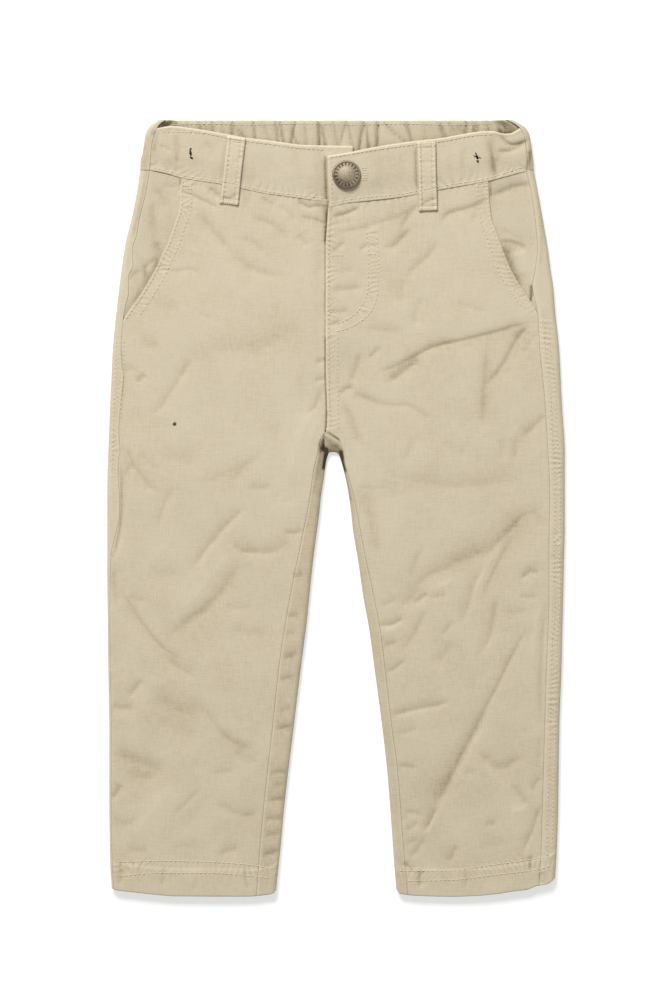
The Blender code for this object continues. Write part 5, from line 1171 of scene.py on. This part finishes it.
def backBand(material):
    wall, depth, height = inside["wall"], inside["foldReach"], waistband["height"]
    lastDown = rightLeg["top"] - cloth["seamGap"] / 2
    downs = np.concatenate([0.8 + np.array([0.0, 0.12, 0.35, 0.7, 1.1]), np.linspace(1.9, 17.5, 24),
                            np.linspace(18.4, lastDown, 14)])
    outer, inner, tones, underTones = [], [], [], []

    def side(leg, order):
        rimX = cornerAt(leg, 0)(downs)
        length = np.abs(cornerAt(leg, 1)(downs) - rimX) - cloth["seamGap"] / 2
        rounded = np.minimum(depth, 0.8 * length)
        flat = length - rounded
        grids = []
        for step in (0.0, 0.1, 0.3, 0.6):
            grids.append((length - np.minimum(step, flat * 0.6), True))
        for share in np.linspace(0.3, 1, 5):
            grids.append((rounded + flat * (1 - share) * 0.9, True))
        for share in roundShares[::-1][1:]:
            grids.append((rounded * share, True))
        for share in roundShares[1:]:
            grids.append((depth * share, False))
        made = []
        for reach, upper in grids:
            x = rimX - leg["sign"] * reach
            relief, shade = creaseRelief(bandCreases, x, downs)
            top = height - 0.5 * waistband["seamFall"] * ease(downs, 16.0, 31.0)
            top = top + 0.12 * ripple(x, downs, 5.0, 71) + relief
            # painted shade and highlight of the creases, and painted shadows, on the folded sides
            tone = creaseShadeAndHighlight(shade) + shadowTone(bandShadows, x, downs)
            if upper:
                top = top - edgeDrop(length - reach, 0.35)
                # a painted highlight and shade at the edge, and painted shade along the lower seam
                tone = tone + rollHighlightWearAndDitchShade(length - reach, 0.08, 0.05) - 0.06 * bump(lastDown - downs, 0, 0.7)
            points = foldPoints(rimX, downs, -leg["sign"] + 0 * rimX, 0 * rimX, reach, top, upper, wall, depth)
            made.append((*points, tone))
        return made[::order]

    for a, b, tone in side(rightLeg, 1):
        outer.append(a)
        inner.append(b)
        tones.append(tone)
        underTones.append(tone)
    startX = cornerAt(rightLeg, 0)(downs) + depth
    endX = cornerAt(leftLeg, 0)(downs) - depth
    frontTops = [curveThrough(waistband[leg["name"] + "Top"]) for leg in (rightLeg, leftLeg)]
    for share in np.linspace(0, 1, inside["columns"])[1:-1]:
        x = startX + (endX - startX) * share
        relief, shade = creaseRelief(gathers, x, downs)
        # a gather's shade found a little to one side, for a painted highlight on its lit wall
        highlightBeside = creaseRelief(gathers, x - inside["besideStep"], downs)[1]
        ends = ease(x, -107, -101) * (1 - ease(x, 97, 103))
        wave = relief * ends
        edge = 1 - ease(downs, 0.8, 6.0)
        scallop = -inside["scallop"] * wave * edge
        top = wall + inside["highest"] + wave - 0.55 * edgeDrop(downs - 0.8, 1.0) + 0.25 * bump(downs, 3.6, 0.9)
        # the cloth rises to meet the folded side at the corners, and rolls up against its edge
        atCorners = ease(x, endX - 9.0, endX - 1.0) + 1 - ease(x, startX + 1.0, startX + 7.0)
        top = top + inside["cornerRise"] * atCorners
        rightEdge, leftEdge = cornerAt(rightLeg, 1)(downs), cornerAt(leftLeg, 1)(downs)
        roll = ease(x, leftEdge - 10.0, leftEdge - 1.2) * (1 - ease(x, leftEdge - 0.7, leftEdge - 0.1))
        roll = roll + ease(-x, -rightEdge - 7.0, -rightEdge - 1.2) * (
            1 - ease(-x, -rightEdge - 0.7, -rightEdge - 0.1))
        frontTop = np.where(x < waistband["leftTop"][0][0], frontTops[0](x), frontTops[1](x))
        top = top + inside["edgeRoll"] * roll * (1 - ease(downs, frontTop - 3.2, frontTop - 0.8))
        top = top + 0.14 * ripple(x, downs, 7.0, 81) + 0.10 * ripple(x * 2, downs, 4.0, 82)
        outer.append(inMetres(x, downs + scallop, edgeDrop(downs - 0.8, 0.9) * 0.9))
        inner.append(inMetres(x, downs + scallop, np.maximum(top, inside["lowest"])))
        # painted shade in the gathers, towards both corners and close to the front band's edge, with painted
        # highlights beside the gathers and along the top edge
        cornerShade = 0.08 * (1 - ease(x, -106, -80)) + 0.06 * ease(x, 58, 76)
        topEdgeLightAndShade = 0.12 * bump(downs, 1.5, 0.6) - 0.06 * bump(downs, 3.1, 0.5)
        shadow = shadowTone(insideShadows, x, downs) - 0.10 * np.exp(-np.maximum(frontTop - downs, 0) / 1.6)
        # painted shade of the gathers on the underside
        underTones.append(creaseShadeAndHighlight(shade) * ends)
        gatherShadeAndHighlight = (1.35 * creaseShadeAndHighlight(shade) - 0.4 * creaseShadeAndHighlight(highlightBeside)) * ends
        tones.append(gatherShadeAndHighlight + topEdgeLightAndShade - cornerShade + shadow - inside["evenShade"])
    for a, b, tone in side(leftLeg, -1):
        outer.append(a)
        inner.append(b)
        tones.append(tone)
        underTones.append(tone)
    return shell("band_back_cloth", np.stack(outer, 1), np.stack(inner, 1), material, np.stack(tones, 1), None,
                 np.stack(underTones, 1))


beltLoops = {
    "width": 11.4, "wall": 1.1, "seat": 0.25, "stand": 0.5, "rib": 0.30, "rows": 84,
    "creases": [([(420, 203), (428, 201), (436, 196)], 1.2, 1.6, -0.55, 0.3),
                ([(221, 196), (229, 198), (238, 193)], 1.2, 1.6, -0.55, 0.3),
                ([(232, 162), (237, 160), (242, 156)], 1.4, 1.4, -0.22, 0.5),
                ([(421, 163), (427, 160), (434, 162)], 1.4, 1.4, -0.26, 0.5)],
    "lines": [("right", (-59.6, 11.0), (-64.2, 51.6)), ("left", (54.2, 14.2), (55.4, 55.4))]}


def beltLoop(name, top, end, material):
    leg = rightLeg if name == "right" else leftLeg
    top, end = np.array(top), np.array(end)
    way = (end - top) / np.hypot(*(end - top))
    across = np.array([-way[1], way[0]])
    half = beltLoops["width"] / 2
    share = np.linspace(0, 1, beltLoops["rows"])
    places = np.concatenate([[-1, -0.985, -0.95, -0.89], np.linspace(-0.82, 0.82, 25), [0.89, 0.95, 0.985, 1]])
    s, p = np.meshgrid(share, places, indexing="ij")
    length = np.hypot(*(end - top))
    middle = top + (end - top) * share[:, None]
    # the support is the band, then the leg below it
    seam = leg["waistAt"](middle[:, 0])
    below = levelAt(middle[:, 1])
    high = waistband["height"] - waistband["seamFall"] * ease(middle[:, 1], seam - 15, seam)
    support = high + (below - high) * ease(middle[:, 1], seam, seam + 5)
    arch = np.sin(np.pi * share) ** 0.6
    base = (support + beltLoops["seat"] + beltLoops["stand"] * arch)[:, None] + 0 * p
    narrow = 1 - 0.05 * np.sin(np.pi * s) + 0.012 * ripple(s * 40, p * 3 + 5 * top[0], 5.0, 91)
    x = middle[:, 0][:, None] + across[0] * half * p * narrow
    down = middle[:, 1][:, None] + across[1] * half * p * narrow
    fromEdge, fromEnd = half * (1 - np.abs(p)), length * np.minimum(s, 1 - s)
    rib = beltLoops["rib"] * np.exp(-((fromEdge - 1.0) / 0.8) ** 2)
    groove = -0.22 * np.exp(-((fromEdge - 2.5) / 0.55) ** 2)
    tack = 0.30 * np.exp(-((fromEnd - 1.2) / 0.9) ** 2) - 0.32 * np.exp(-((fromEnd - 3.2) / 0.7) ** 2)
    pull = 0.10 * np.cos(2 * np.pi * (length * s) / 3.4 + 2 * ripple(s * 30, p, 8.0, 92)) * np.exp(
        -((fromEdge - 2.2) / 1.4) ** 2)
    relief, shade = creaseRelief(beltLoops["creases"], x, down)
    face = base + beltLoops["wall"] + rib + groove + tack + pull + relief + 0.10 * ripple(x, down, 5.0, 93)
    face = face - edgeDrop(fromEdge, 0.9) - edgeDrop(fromEnd, 0.8) - 0.4 * (1 - ease(fromEnd, 0, 3.0))
    # painted shade in the grooves and painted highlight on the ribs and tacks, painted crease shade, and a painted
    # highlight and shade along the edges and ends
    tone = 0.24 * (rib + groove + tack) + creaseShadeAndHighlight(shade) + rollHighlightWearAndDitchShade(fromEdge) + rollHighlightWearAndDitchShade(fromEnd)
    outer = inMetres(x, down, face)
    inner = inMetres(x, down, base + 0.3 * edgeDrop(fromEdge, 0.6))
    return shell("loop_" + name + "_cloth", outer, inner, material, tone)


tackButton = {
    "x": 6.3, "down": 33.7, "seat": 8.4, "sides": 96, "marks": 19,
    # turned profile: radius, height above the band
    "profile": [(2.6, -2.6), (2.6, 0.25), (7.2, 0.25), (8.0, 0.35), (8.4, 0.65), (8.5, 1.05), (8.42, 1.45),
                (8.15, 1.8), (7.85, 1.95), (7.6, 1.92), (7.45, 1.78), (7.3, 1.70), (7.0, 1.70), (6.2, 1.76),
                (5.2, 1.84), (4.9, 1.90), (4.6, 1.99), (4.2, 2.10), (3.6, 2.24), (2.6, 2.42), (1.4, 2.56)],
    "crown": 2.62,
    # radius from the middle: how pale the metal is there
    "tones": [(0.0, 0.06), (4.2, 0.04), (4.8, -0.10), (5.3, 0.02), (6.9, 0.02), (7.35, -0.34), (7.9, 0.04),
              (8.3, -0.05), (8.5, -0.20)],
    "markTone": -0.40, "lowShade": 0.16,
    # a mark: how far it reaches in and out, its foot and its top, and how much smaller it is on top
    "markReach": (5.35, 7.05), "markHeights": (1.5, 1.94), "markSlope": 0.1}


def turnedButton(material):
    sides = tackButton["sides"]
    angles = np.arange(sides) * 2 * np.pi / sides

    def spots(x, down, height):
        return inMetres(tackButton["x"] + x, tackButton["down"] - down, np.full(len(x), tackButton["seat"] + height))

    points = [spots(radius * np.cos(angles), radius * np.sin(angles), height)
              for radius, height in tackButton["profile"]]
    rings = len(points)
    points = np.concatenate(points)
    faces = ringFaces(rings, sides)
    foot, crown = len(points), len(points) + 1
    lowest = tackButton["seat"] + tackButton["profile"][0][1]
    ends = inMetres(np.full(2, tackButton["x"]), np.full(2, tackButton["down"]),
                    np.array([lowest, tackButton["seat"] + tackButton["crown"]]))
    points = np.concatenate([points, ends])
    top = (rings - 1) * sides
    for i in range(sides):
        j = (i + 1) % sides
        faces.append((j, i, foot))
        faces.append((top + i, top + j, crown))
    # a ring of plain raised dashes round the middle
    for number in range(tackButton["marks"]):
        angle = 2 * np.pi * number / tackButton["marks"]
        turn = np.array([[np.cos(angle), -np.sin(angle)], [np.sin(angle), np.cos(angle)]])
        half = 0.40 + 0.22 * math.sin(2.4 * number) ** 2
        first = len(points)
        for height, smaller in zip(tackButton["markHeights"], (0.0, tackButton["markSlope"])):
            near, far = tackButton["markReach"][0] + smaller, tackButton["markReach"][1] - smaller
            side = half - smaller
            corners = np.array([(near, -side), (far, -side), (far, side), (near, side)]) @ turn.T
            points = np.concatenate([points, spots(corners[:, 0], corners[:, 1], height)])
        faces.append(tuple(first + i for i in (3, 2, 1, 0)))
        faces.append(tuple(first + 4 + i for i in range(4)))
        for i in range(4):
            j = (i + 1) % 4
            faces.append((first + i, first + j, first + 4 + j, first + 4 + i))
    piece = meshPiece("tack_button", points, faces, material, 35)
    offX = points[:, 0] * 1000 - tackButton["x"]
    offDown = layout["length"] / 2 - points[:, 1] * 1000 - tackButton["down"]
    tone = curveThrough(tackButton["tones"])(np.hypot(offX, offDown))
    tone[crown + 1:] = tackButton["markTone"]
    # painted shade: the lower left of the ring is darker
    tone -= tackButton["lowShade"] * ease(offDown - 0.6 * offX, 2.0, 7.0)
    writeTone(piece, tone)
    return piece


class Ground:
    # finds the height of the cloth under a place, by looking straight down at finished pieces
    def __init__(self, pieces):
        points, faces = [], []
        for piece in pieces:
            first = len(points)
            points += [tuple(v.co) for v in piece.data.vertices]
            faces += [[first + i for i in f.vertices] for f in piece.data.polygons]
        self.tree = BVHTree.FromPolygons(points, faces)

    def height(self, x, down):
        place = inMetres(np.array(x), np.array(down), np.array(40.0))
        hit = self.tree.ray_cast(Vector(place), Vector((0, 0, -1)), 0.06)
        return None if hit[0] is None else hit[0].z * 1000


thread = {"length": 1.9, "gap": 0.75, "thick": 0.30, "proud": 0.14, "sink": 0.22, "tack": (1.1, 0.12, 0.26)}


def threadTube(points, radius, sides=6):
    # a round-ended tube along a few points, in metres
    points = np.array(points, float)
    ways = np.gradient(points, axis=0)
    ways /= np.linalg.norm(ways, axis=1)[:, None]
    up = np.array([0.0, 0.0, 1.0])
    aside = np.cross(ways, up)
    aside /= np.maximum(np.linalg.norm(aside, axis=1), 1e-9)[:, None]
    over = np.cross(aside, ways)
    angles = np.arange(sides) * 2 * np.pi / sides
    swell = np.sin(np.linspace(0.22, math.pi - 0.22, len(points))) ** 0.5 * radius
    rings = [p + r * (np.cos(angles)[:, None] * a + np.sin(angles)[:, None] * o)
             for p, r, a, o in zip(points, swell, aside, over)]
    made = np.concatenate([*rings, points[:1], points[-1:]])
    faces = [(a, d, c, b) for a, b, c, d in ringFaces(len(points), sides)]
    first, last = len(made) - 2, len(made) - 1
    end = (len(points) - 1) * sides
    for i in range(sides):
        j = (i + 1) % sides
        faces.append((i, j, first))
        faces.append((end + j, end + i, last))
    return made, faces


def sewnRows(name, rows, ground, material, length=None, gap=None, thick=None):
    # running stitches along each row of points on the photograph's grid
    length, gap, thick = length or thread["length"], gap or thread["gap"], thick or thread["thick"]
    points, faces, random = [], [], np.random.RandomState(len(name))
    count = 0
    for row in rows:
        path = smoothPath(fromPhoto(row), 0.5)
        lengths = np.concatenate([[0], np.cumsum(np.hypot(*np.diff(path, axis=0).T))])
        place = 0.3
        while place + length < lengths[-1]:
            stretch = length * random.uniform(0.88, 1.1)
            spots = np.linspace(place, min(place + stretch, lengths[-1]), 4)
            x, down = np.interp(spots, lengths, path[:, 0]), np.interp(spots, lengths, path[:, 1])
            heights = [ground.height(a, b) for a, b in zip(x, down)]
            if None not in heights:
                lift = np.array([-thread["sink"], 0.0, 0.0, -thread["sink"]]) + thread["proud"]
                line = inMetres(x, down, np.array(heights) + lift)
                made, sides = threadTube(line, thick * random.uniform(0.9, 1.1) * 0.001)
                faces += [[i + count for i in face] for face in sides]
                points.append(made)
                count += len(made)
            place += stretch + gap * random.uniform(0.8, 1.2)
    return meshPiece(name, np.concatenate(points), faces, material, 60)


def beside(points, offset):
    # a row of points moved aside, to the right of the way it runs, in pixels of the photograph
    path = np.array(points, float)
    ways = np.gradient(path, axis=0)
    ways /= np.hypot(*ways.T)[:, None]
    return path + np.stack([-ways[:, 1], ways[:, 0]], -1) * offset


class Wire:
    # a socket that can be used in sums
    def __init__(self, finish, socket):
        self.finish, self.socket = finish, socket

    def sum(self, operation, first, second):
        return self.finish.node("ShaderNodeMath", {"operation": operation}, {0: first, 1: second})

    def __add__(self, other):
        return self.sum("ADD", self, other)

    def __radd__(self, other):
        return self.sum("ADD", other, self)

    def __sub__(self, other):
        return self.sum("SUBTRACT", self, other)

    def __rsub__(self, other):
        return self.sum("SUBTRACT", other, self)

    def __mul__(self, other):
        return self.sum("MULTIPLY", self, other)

    def __rmul__(self, other):
        return self.sum("MULTIPLY", other, self)

    def __truediv__(self, other):
        return self.sum("DIVIDE", self, other)


class Finish:
    def __init__(self, name):
        self.material = bpy.data.materials.new(name)
        self.material.use_nodes = True
        self.tree = self.material.node_tree
        self.shader = self.tree.nodes["Principled BSDF"]

    def node(self, kind, settings=None, sockets=None, output=0):
        made = self.tree.nodes.new(kind)
        for name, value in (settings or {}).items():
            if name == "stops":
                while len(made.color_ramp.elements) < len(value):
                    made.color_ramp.elements.new(0.5)
                for element, (place, colour) in zip(made.color_ramp.elements, value):
                    element.position, element.color = place, (*colour, 1.0)
            else:
                setattr(made, name, value)
        for name, value in (sockets or {}).items():
            self.plug(made.inputs[name], value)
        return Wire(self, made.outputs[output])

    def plug(self, target, value):
        if isinstance(value, Wire):
            self.tree.links.new(value.socket, target)
        else:
            target.default_value = value

    def set(self, **sockets):
        for name, value in sockets.items():
            self.plug(self.shader.inputs[name.replace("_", " ")], value)


def inMillimetres(finish):
    place = finish.node("ShaderNodeTexCoord", output=3)
    return finish.node("ShaderNodeVectorMath", {"operation": "SCALE"}, {0: place, "Scale": 1000.0})


def stretched(finish, place, x, y, z=1.0):
    return finish.node("ShaderNodeVectorMath", {"operation": "MULTIPLY"}, {0: place, 1: (x, y, z)})


def noise(finish, place, scale, detail=2.0, roughness=0.5, distortion=0.0):
    return finish.node("ShaderNodeTexNoise", None, {"Vector": place, "Scale": scale, "Detail": detail,
                                                    "Roughness": roughness, "Distortion": distortion})


twill = {
    # colours from painted shade at the bottom of a dark fold up to a painted highlight on a worn edge
    "stops": [(0.0, (0.050, 0.035, 0.018)), (0.25, (0.300, 0.242, 0.152)), (0.45, (0.486, 0.415, 0.289)),
              (0.6, (0.564, 0.491, 0.359)), (1.0, (0.658, 0.591, 0.454))],
    "slub": 0.15, "blotch": 0.12, "roughness": 0.88, "sheen": 0.12}


def twillFinish(name, turn=0.0, tone=1.0, stain=None):
    finish = Finish(name)
    place = inMillimetres(finish)
    if turn:
        place = finish.node("ShaderNodeVectorRotate", {"rotation_type": "Z_AXIS"},
                            {"Vector": place, "Angle": turn})
    warp = noise(finish, stretched(finish, place, 1.9, 0.16), 1.0, 2.0, 0.6)
    weft = noise(finish, stretched(finish, place, 0.16, 1.9), 1.0, 2.0, 0.6)
    blotch = noise(finish, place, 0.045, 3.0, 0.55)
    fleck = noise(finish, place, 1.1, 1.0, 0.6)
    # fine diagonal ribs of the twill
    ribs = finish.node("ShaderNodeTexWave", {"wave_type": "BANDS", "bands_direction": "DIAGONAL"},
                       {"Vector": place, "Scale": 0.36, "Distortion": 1.2, "Detail": 1.0, "Detail Scale": 2.0},
                       output=1)
    shade = (warp - 0.5) * twill["slub"] + (weft - 0.5) * twill["slub"] + (blotch - 0.5) * twill["blotch"]
    shade = shade + (fleck - 0.5) * 0.06 + (ribs - 0.5) * 0.01
    # painted shade and painted highlights, with some wear along seam edges, from each point's tone
    shadeHighlightAndWear = finish.node("ShaderNodeAttribute", {"attribute_name": "tone"}, output=2)
    level = shade * 1.8 + shadeHighlightAndWear + 0.6
    if stain:
        flat = stretched(finish, place, 1.0, 1.0, 0.0)
        away = finish.node("ShaderNodeVectorMath", {"operation": "DISTANCE"}, {0: flat, 1: stain["place"]},
                           output=1)
        spot = finish.node("ShaderNodeMapRange", None, {
            "Value": away + (fleck - 0.5) * 0.5, "From Min": stain["size"], "From Max": stain["size"] + stain["soft"],
            "To Min": stain["tone"], "To Max": 0.0})
        level = level + spot
    ramp = finish.node("ShaderNodeValToRGB", {"stops": [
        (stop, [c * tone for c in colour]) for stop, colour in twill["stops"]]}, {0: level})
    height = warp * 0.5 + weft * 0.5 + ribs * 0.12 + fleck * 0.3
    grain = finish.node("ShaderNodeBump", None, {"Height": height, "Strength": 0.35, "Distance": 0.0003})
    finish.set(Base_Color=ramp, Roughness=twill["roughness"] + (fleck - 0.5) * 0.08, Normal=grain,
               Sheen_Weight=twill["sheen"], Sheen_Roughness=0.5, Specular_IOR_Level=0.25)
    return finish.material


def threadFinish(name, colour, dark):
    finish = Finish(name)
    place = inMillimetres(finish)
    strands = noise(finish, place, 2.6, 2.0, 0.6)
    ramp = finish.node("ShaderNodeValToRGB", {"stops": [(0.2, dark), (0.8, colour)]}, {0: strands})
    grain = finish.node("ShaderNodeBump", None, {"Height": strands, "Strength": 0.3, "Distance": 0.0002})
    finish.set(Base_Color=ramp, Roughness=0.7 + strands * 0.15, Normal=grain, Specular_IOR_Level=0.3)
    return finish.material


def metalFinish(name):
    finish = Finish(name)
    place = inMillimetres(finish)
    tarnish = noise(finish, place, 0.9, 4.0, 0.65)
    pits = noise(finish, place, 1.7, 2.0, 0.6)
    # the tone read here darkens the grooves and marks, with painted shade on the lower left
    groovesMarksAndShade = finish.node("ShaderNodeAttribute", {"attribute_name": "tone"}, output=2)
    level = 0.36 + groovesMarksAndShade + tarnish * 0.45 + (pits - 0.5) * 0.6
    ramp = finish.node("ShaderNodeValToRGB", {"stops": [
        (0.10, (0.060, 0.043, 0.027)), (0.50, (0.30, 0.245, 0.17)), (0.90, (0.58, 0.50, 0.38))]}, {0: level})
    height = tarnish + pits * 0.4
    grain = finish.node("ShaderNodeBump", None, {"Height": height, "Strength": 0.3, "Distance": 0.0002})
    finish.set(Base_Color=ramp, Roughness=0.50 + tarnish * 0.25, Metallic=0.75, Normal=grain)
    return finish.material


legTwill = twillFinish("leg_twill")
stainX, stainDown = fromPhoto((174.5, 424.0))
stain = {"place": (stainX, layout["length"] / 2 - stainDown, 0), "size": 0.8, "soft": 0.7, "tone": -0.62}
spottedTwill = twillFinish("spotted_twill", stain=stain)
facingTwill = twillFinish("facing_twill", 0.3, 0.97)
bandTwill = twillFinish("band_twill", math.pi / 2, 0.99)
# a darker copy of the twill: painted shade for the inside of the back band
shadedInsideTwill = twillFinish("shaded_inside_twill", math.pi / 2, 0.96)
loopTwill = twillFinish("loop_twill", 0.0, 1.03)
sewingThread = threadFinish("sewing_thread", (0.72, 0.63, 0.47), (0.58, 0.50, 0.36))
darkThread = threadFinish("dark_thread", (0.035, 0.022, 0.010), (0.012, 0.008, 0.004))
antiqueMetal = metalFinish("antique_metal")
print("finishes made")

pieces = {}
for leg in (rightLeg, leftLeg):
    side = leg["name"]
    pieces["back_leg_" + side] = backLeg(leg, legTwill)
    pieces["front_leg_" + side] = frontLeg(leg, spottedTwill if leg is rightLeg else legTwill)
    pieces["pocket_facing_" + side] = pocketFacing(leg, facingTwill)
print("legs made")
pieces["waistband_front_right"] = frontBand(rightLeg, bandTwill)
pieces["waistband_front_left"] = frontBand(leftLeg, bandTwill, waistband["buttonhole"])
pieces["waistband_back"] = backBand(shadedInsideTwill)
for name, top, end in beltLoops["lines"]:
    pieces["belt_loop_" + name] = beltLoop(name, top, end, loopTwill)
pieces["button"] = turnedButton(antiqueMetal)
for node, piece in pieces.items():
    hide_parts(node)
print("waistband, loops and button made")

ground = Ground([piece for node, piece in pieces.items() if node != "button"])

# Rows of stitches on the photograph's grid
rightMouth = [(181, 180), (179, 191), (180, 201), (178, 212.5), (173.5, 225), (169, 239), (162, 254),
              (154, 271), (143.6, 289), (130, 309), (123.5, 318)]
leftMouth = [(489, 183), (490, 200), (492, 219), (497.6, 234), (503, 249), (511, 270), (522, 287),
             (532, 301), (539.5, 311)]
stitching = {
    "right_leg_stitches": [
        beside(rightMouth, -2.4), beside(rightMouth[:-1], -11.5),
        [(118, 862), (160, 861), (210, 862), (250, 865), (276, 869)],
        [(120, 876), (160, 873), (210, 873), (250, 876), (274, 879)],
        [(124, 340), (123, 372), (121, 398), (120.5, 420)],
        [(116, 340), (115, 380), (113, 430), (112, 470)]],
    "left_leg_stitches": [
        beside(leftMouth, 2.4), beside(leftMouth[:-1], 11.5),
        [(399, 871), (450, 870.5), (485, 866), (535, 859), (552, 856)],
        [(407, 881), (450, 880), (502, 874), (535, 870), (550, 866)],
        [(543, 318), (545, 349), (549, 376), (551, 402), (552, 437), (555, 480), (555, 514), (554, 563),
         (555, 597), (552.5, 635), (550.5, 687), (550, 738), (549, 769), (547.5, 824), (547, 858)],
        [(548, 318), (550, 349), (554, 376), (556, 402), (557, 437), (560, 480), (560, 514), (559.5, 563),
         (560, 597), (557.5, 635), (555.5, 687), (555, 738), (554, 769), (552.5, 824), (552, 858)]],
    "fly_stitches": [
        [(330.4, 216), (329, 236), (328.6, 260), (328.6, 345), (329, 400), (330, 428)],
        [(338, 336), (337.5, 370), (338, 400), (338.5, 430)],
        [(367, 231), (368.5, 262), (368, 288), (362, 305), (351, 317), (337, 324)],
        [(376.5, 236), (378.5, 262), (378, 288), (373, 308), (361, 321), (346, 329), (334, 332)],
        [(331, 255.5), (345, 255.5)], [(368, 254), (380, 254.5)], [(329, 312), (345, 313)]],
    "band_stitches": [
        [(162, 131.5), (197, 132.5), (226, 137.5), (248, 141.5), (265, 143.5), (303, 148.5), (326, 150)],
        [(330, 157.5), (346, 155), (370, 151), (400, 146.5), (415, 144.5), (438, 142), (476, 135.5), (492, 134.5)],
        [(153, 167), (168, 171), (182, 175), (222, 181.5), (241, 185), (265, 191), (297, 195), (324, 198)],
        [(331.5, 203.5), (346, 200), (370, 197), (400, 194), (417, 191), (439, 186.5), (486, 178.5), (523, 167)],
        [(331.5, 160), (332, 180), (332.5, 202)]],
    "inside_stitches": [
        [(172, 124.4), (200, 123.4), (250, 124.2), (300, 123.2), (350, 124.2), (400, 123.4), (450, 124.2),
         (496, 123.6)]],
    "loop_stitches": [
        [(231, 140), (224, 203)], [(243.5, 140), (234.5, 204)],
        [(420, 146), (421.5, 208)], [(432.5, 145), (434, 207)]]}
for name, rows in stitching.items():
    pieces[name] = sewnRows(name, rows, ground, sewingThread)

# Close-set stitches: bar tacks on the loops and pockets, and round the buttonhole
tacks = {
    "loop_tacks": [[(226.5, 138.5), (247, 140.5)], [(226, 141), (246.5, 143)], [(219.5, 199), (238.5, 201.5)],
                   [(219, 203), (238, 205)], [(416.5, 144), (435, 143.5)], [(416.5, 147), (435, 146.5)],
                   [(418.5, 206), (437.5, 205)], [(418.5, 210.5), (438, 209.5)]],
    "pocket_tacks": [[(182, 185.5), (193, 186.5)], [(182, 188.5), (193, 189.5)], [(477, 184), (488, 183)],
                     [(477, 187), (488, 186)]],
    "buttonhole_tacks": [[(361, 168), (367.5, 168)], [(362, 170.5), (368.5, 170.5)], [(362, 173), (369, 173)],
                         [(362, 175.5), (369, 175.5)], [(362, 178), (368.5, 178)], [(361, 180.5), (367.5, 180.5)]]}
for name, rows in tacks.items():
    pieces[name] = sewnRows(name, rows, ground, sewingThread, *thread["tack"])
print("stitches made")

# Dark ends of thread on the band, each a few short strands: points on the photograph's grid, thickness
threadEnds = {
    "right_thread_end": [([(191.5, 148), (190.2, 150.2), (190.4, 152)], 0.42),
                         ([(190.2, 151), (190.6, 153.4), (191, 155.6)], 0.75),
                         ([(190, 156.8), (191.6, 158), (193, 158.4)], 0.55)],
    "left_thread_end": [([(475.4, 152.4), (476.2, 154.6), (477, 156)], 0.36),
                        ([(476.4, 155.4), (477.2, 157.6), (477.6, 159)], 0.80),
                        ([(477, 160.2), (477.6, 161.3), (478.6, 162.2)], 0.65),
                        ([(473.4, 155.6), (475, 156.6), (476.6, 157.4)], 0.28),
                        ([(478, 158), (479.6, 157.8), (481, 158.4)], 0.26)]}
for name, strands in threadEnds.items():
    points, faces = [], []
    for row, thick in strands:
        path = smoothPath(fromPhoto(row), 0.35)
        heights = np.array([ground.height(a, b) for a, b in path])
        line = inMetres(path[:, 0], path[:, 1], heights + 0.15)
        made, sides = threadTube(line, thick * 0.001, 8)
        faces += [[i + sum(map(len, points)) for i in face] for face in sides]
        points.append(made)
    pieces[name] = meshPiece(name, np.concatenate(points), faces, darkThread, 60)

studio = {"floor": (0.50, 0.50, 0.50), "glow": 0.55, "sky": 0.40, "key": 165.0, "keyPlace": (-0.95, 2.65, 2.75),
          "keySize": 1.3, "distance": 3.0, "floorHalf": 4, "floorDrop": 0.0004, "sensor": 36.0, "lift": 0.006}
half, drop = studio["floorHalf"], studio["floorDrop"]
floorMesh = bpy.data.meshes.new("floor")
floorMesh.from_pydata([(-half, -half, -drop), (half, -half, -drop), (half, half, -drop), (-half, half, -drop)], [],
                      [(0, 1, 2, 3)])
floor = bpy.data.objects.new("floor", floorMesh)
bpy.context.scene.collection.objects.link(floor)
paper = Finish("white_paper")
paper.set(Base_Color=(*studio["floor"], 1), Roughness=0.9, Specular_IOR_Level=0.0,
          Emission_Color=(1, 1, 1, 1), Emission_Strength=studio["glow"])
floorMesh.materials.append(paper.material)

world = bpy.data.worlds.new("studio")
world.use_nodes = True
world.node_tree.nodes["Background"].inputs["Color"].default_value = (1, 1, 1, 1)
world.node_tree.nodes["Background"].inputs["Strength"].default_value = studio["sky"]
bpy.context.scene.world = world
keyData = bpy.data.lights.new("key", "AREA")
keyData.energy, keyData.size, keyData.color = studio["key"], studio["keySize"], (1.0, 0.995, 0.985)
key = bpy.data.objects.new("key", keyData)
key.location = studio["keyPlace"]
key.rotation_euler = (-Vector(studio["keyPlace"])).to_track_quat("-Z", "Y").to_euler()
bpy.context.scene.collection.objects.link(key)

cameraData = bpy.data.cameras.new("camera")
frameHeight = layout["photoHeight"] * layout["pixel"] * 0.001
cameraData.sensor_width, cameraData.sensor_fit = studio["sensor"], "AUTO"
cameraData.lens = studio["sensor"] * studio["distance"] / frameHeight
camera = bpy.data.objects.new("camera", cameraData)
middleDown = (layout["photoHeight"] / 2 - layout["topPixel"]) * layout["pixel"]
camera.location = (0, (layout["length"] / 2 - middleDown) * 0.001, studio["distance"] + studio["lift"])
bpy.context.scene.collection.objects.link(camera)
bpy.context.scene.camera = camera
bpy.context.scene.view_settings.view_transform = "Standard"

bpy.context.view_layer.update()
triangles = {node: sum(len(f.vertices) - 2 for f in piece.data.polygons) for node, piece in pieces.items()}
print("triangles:", triangles)
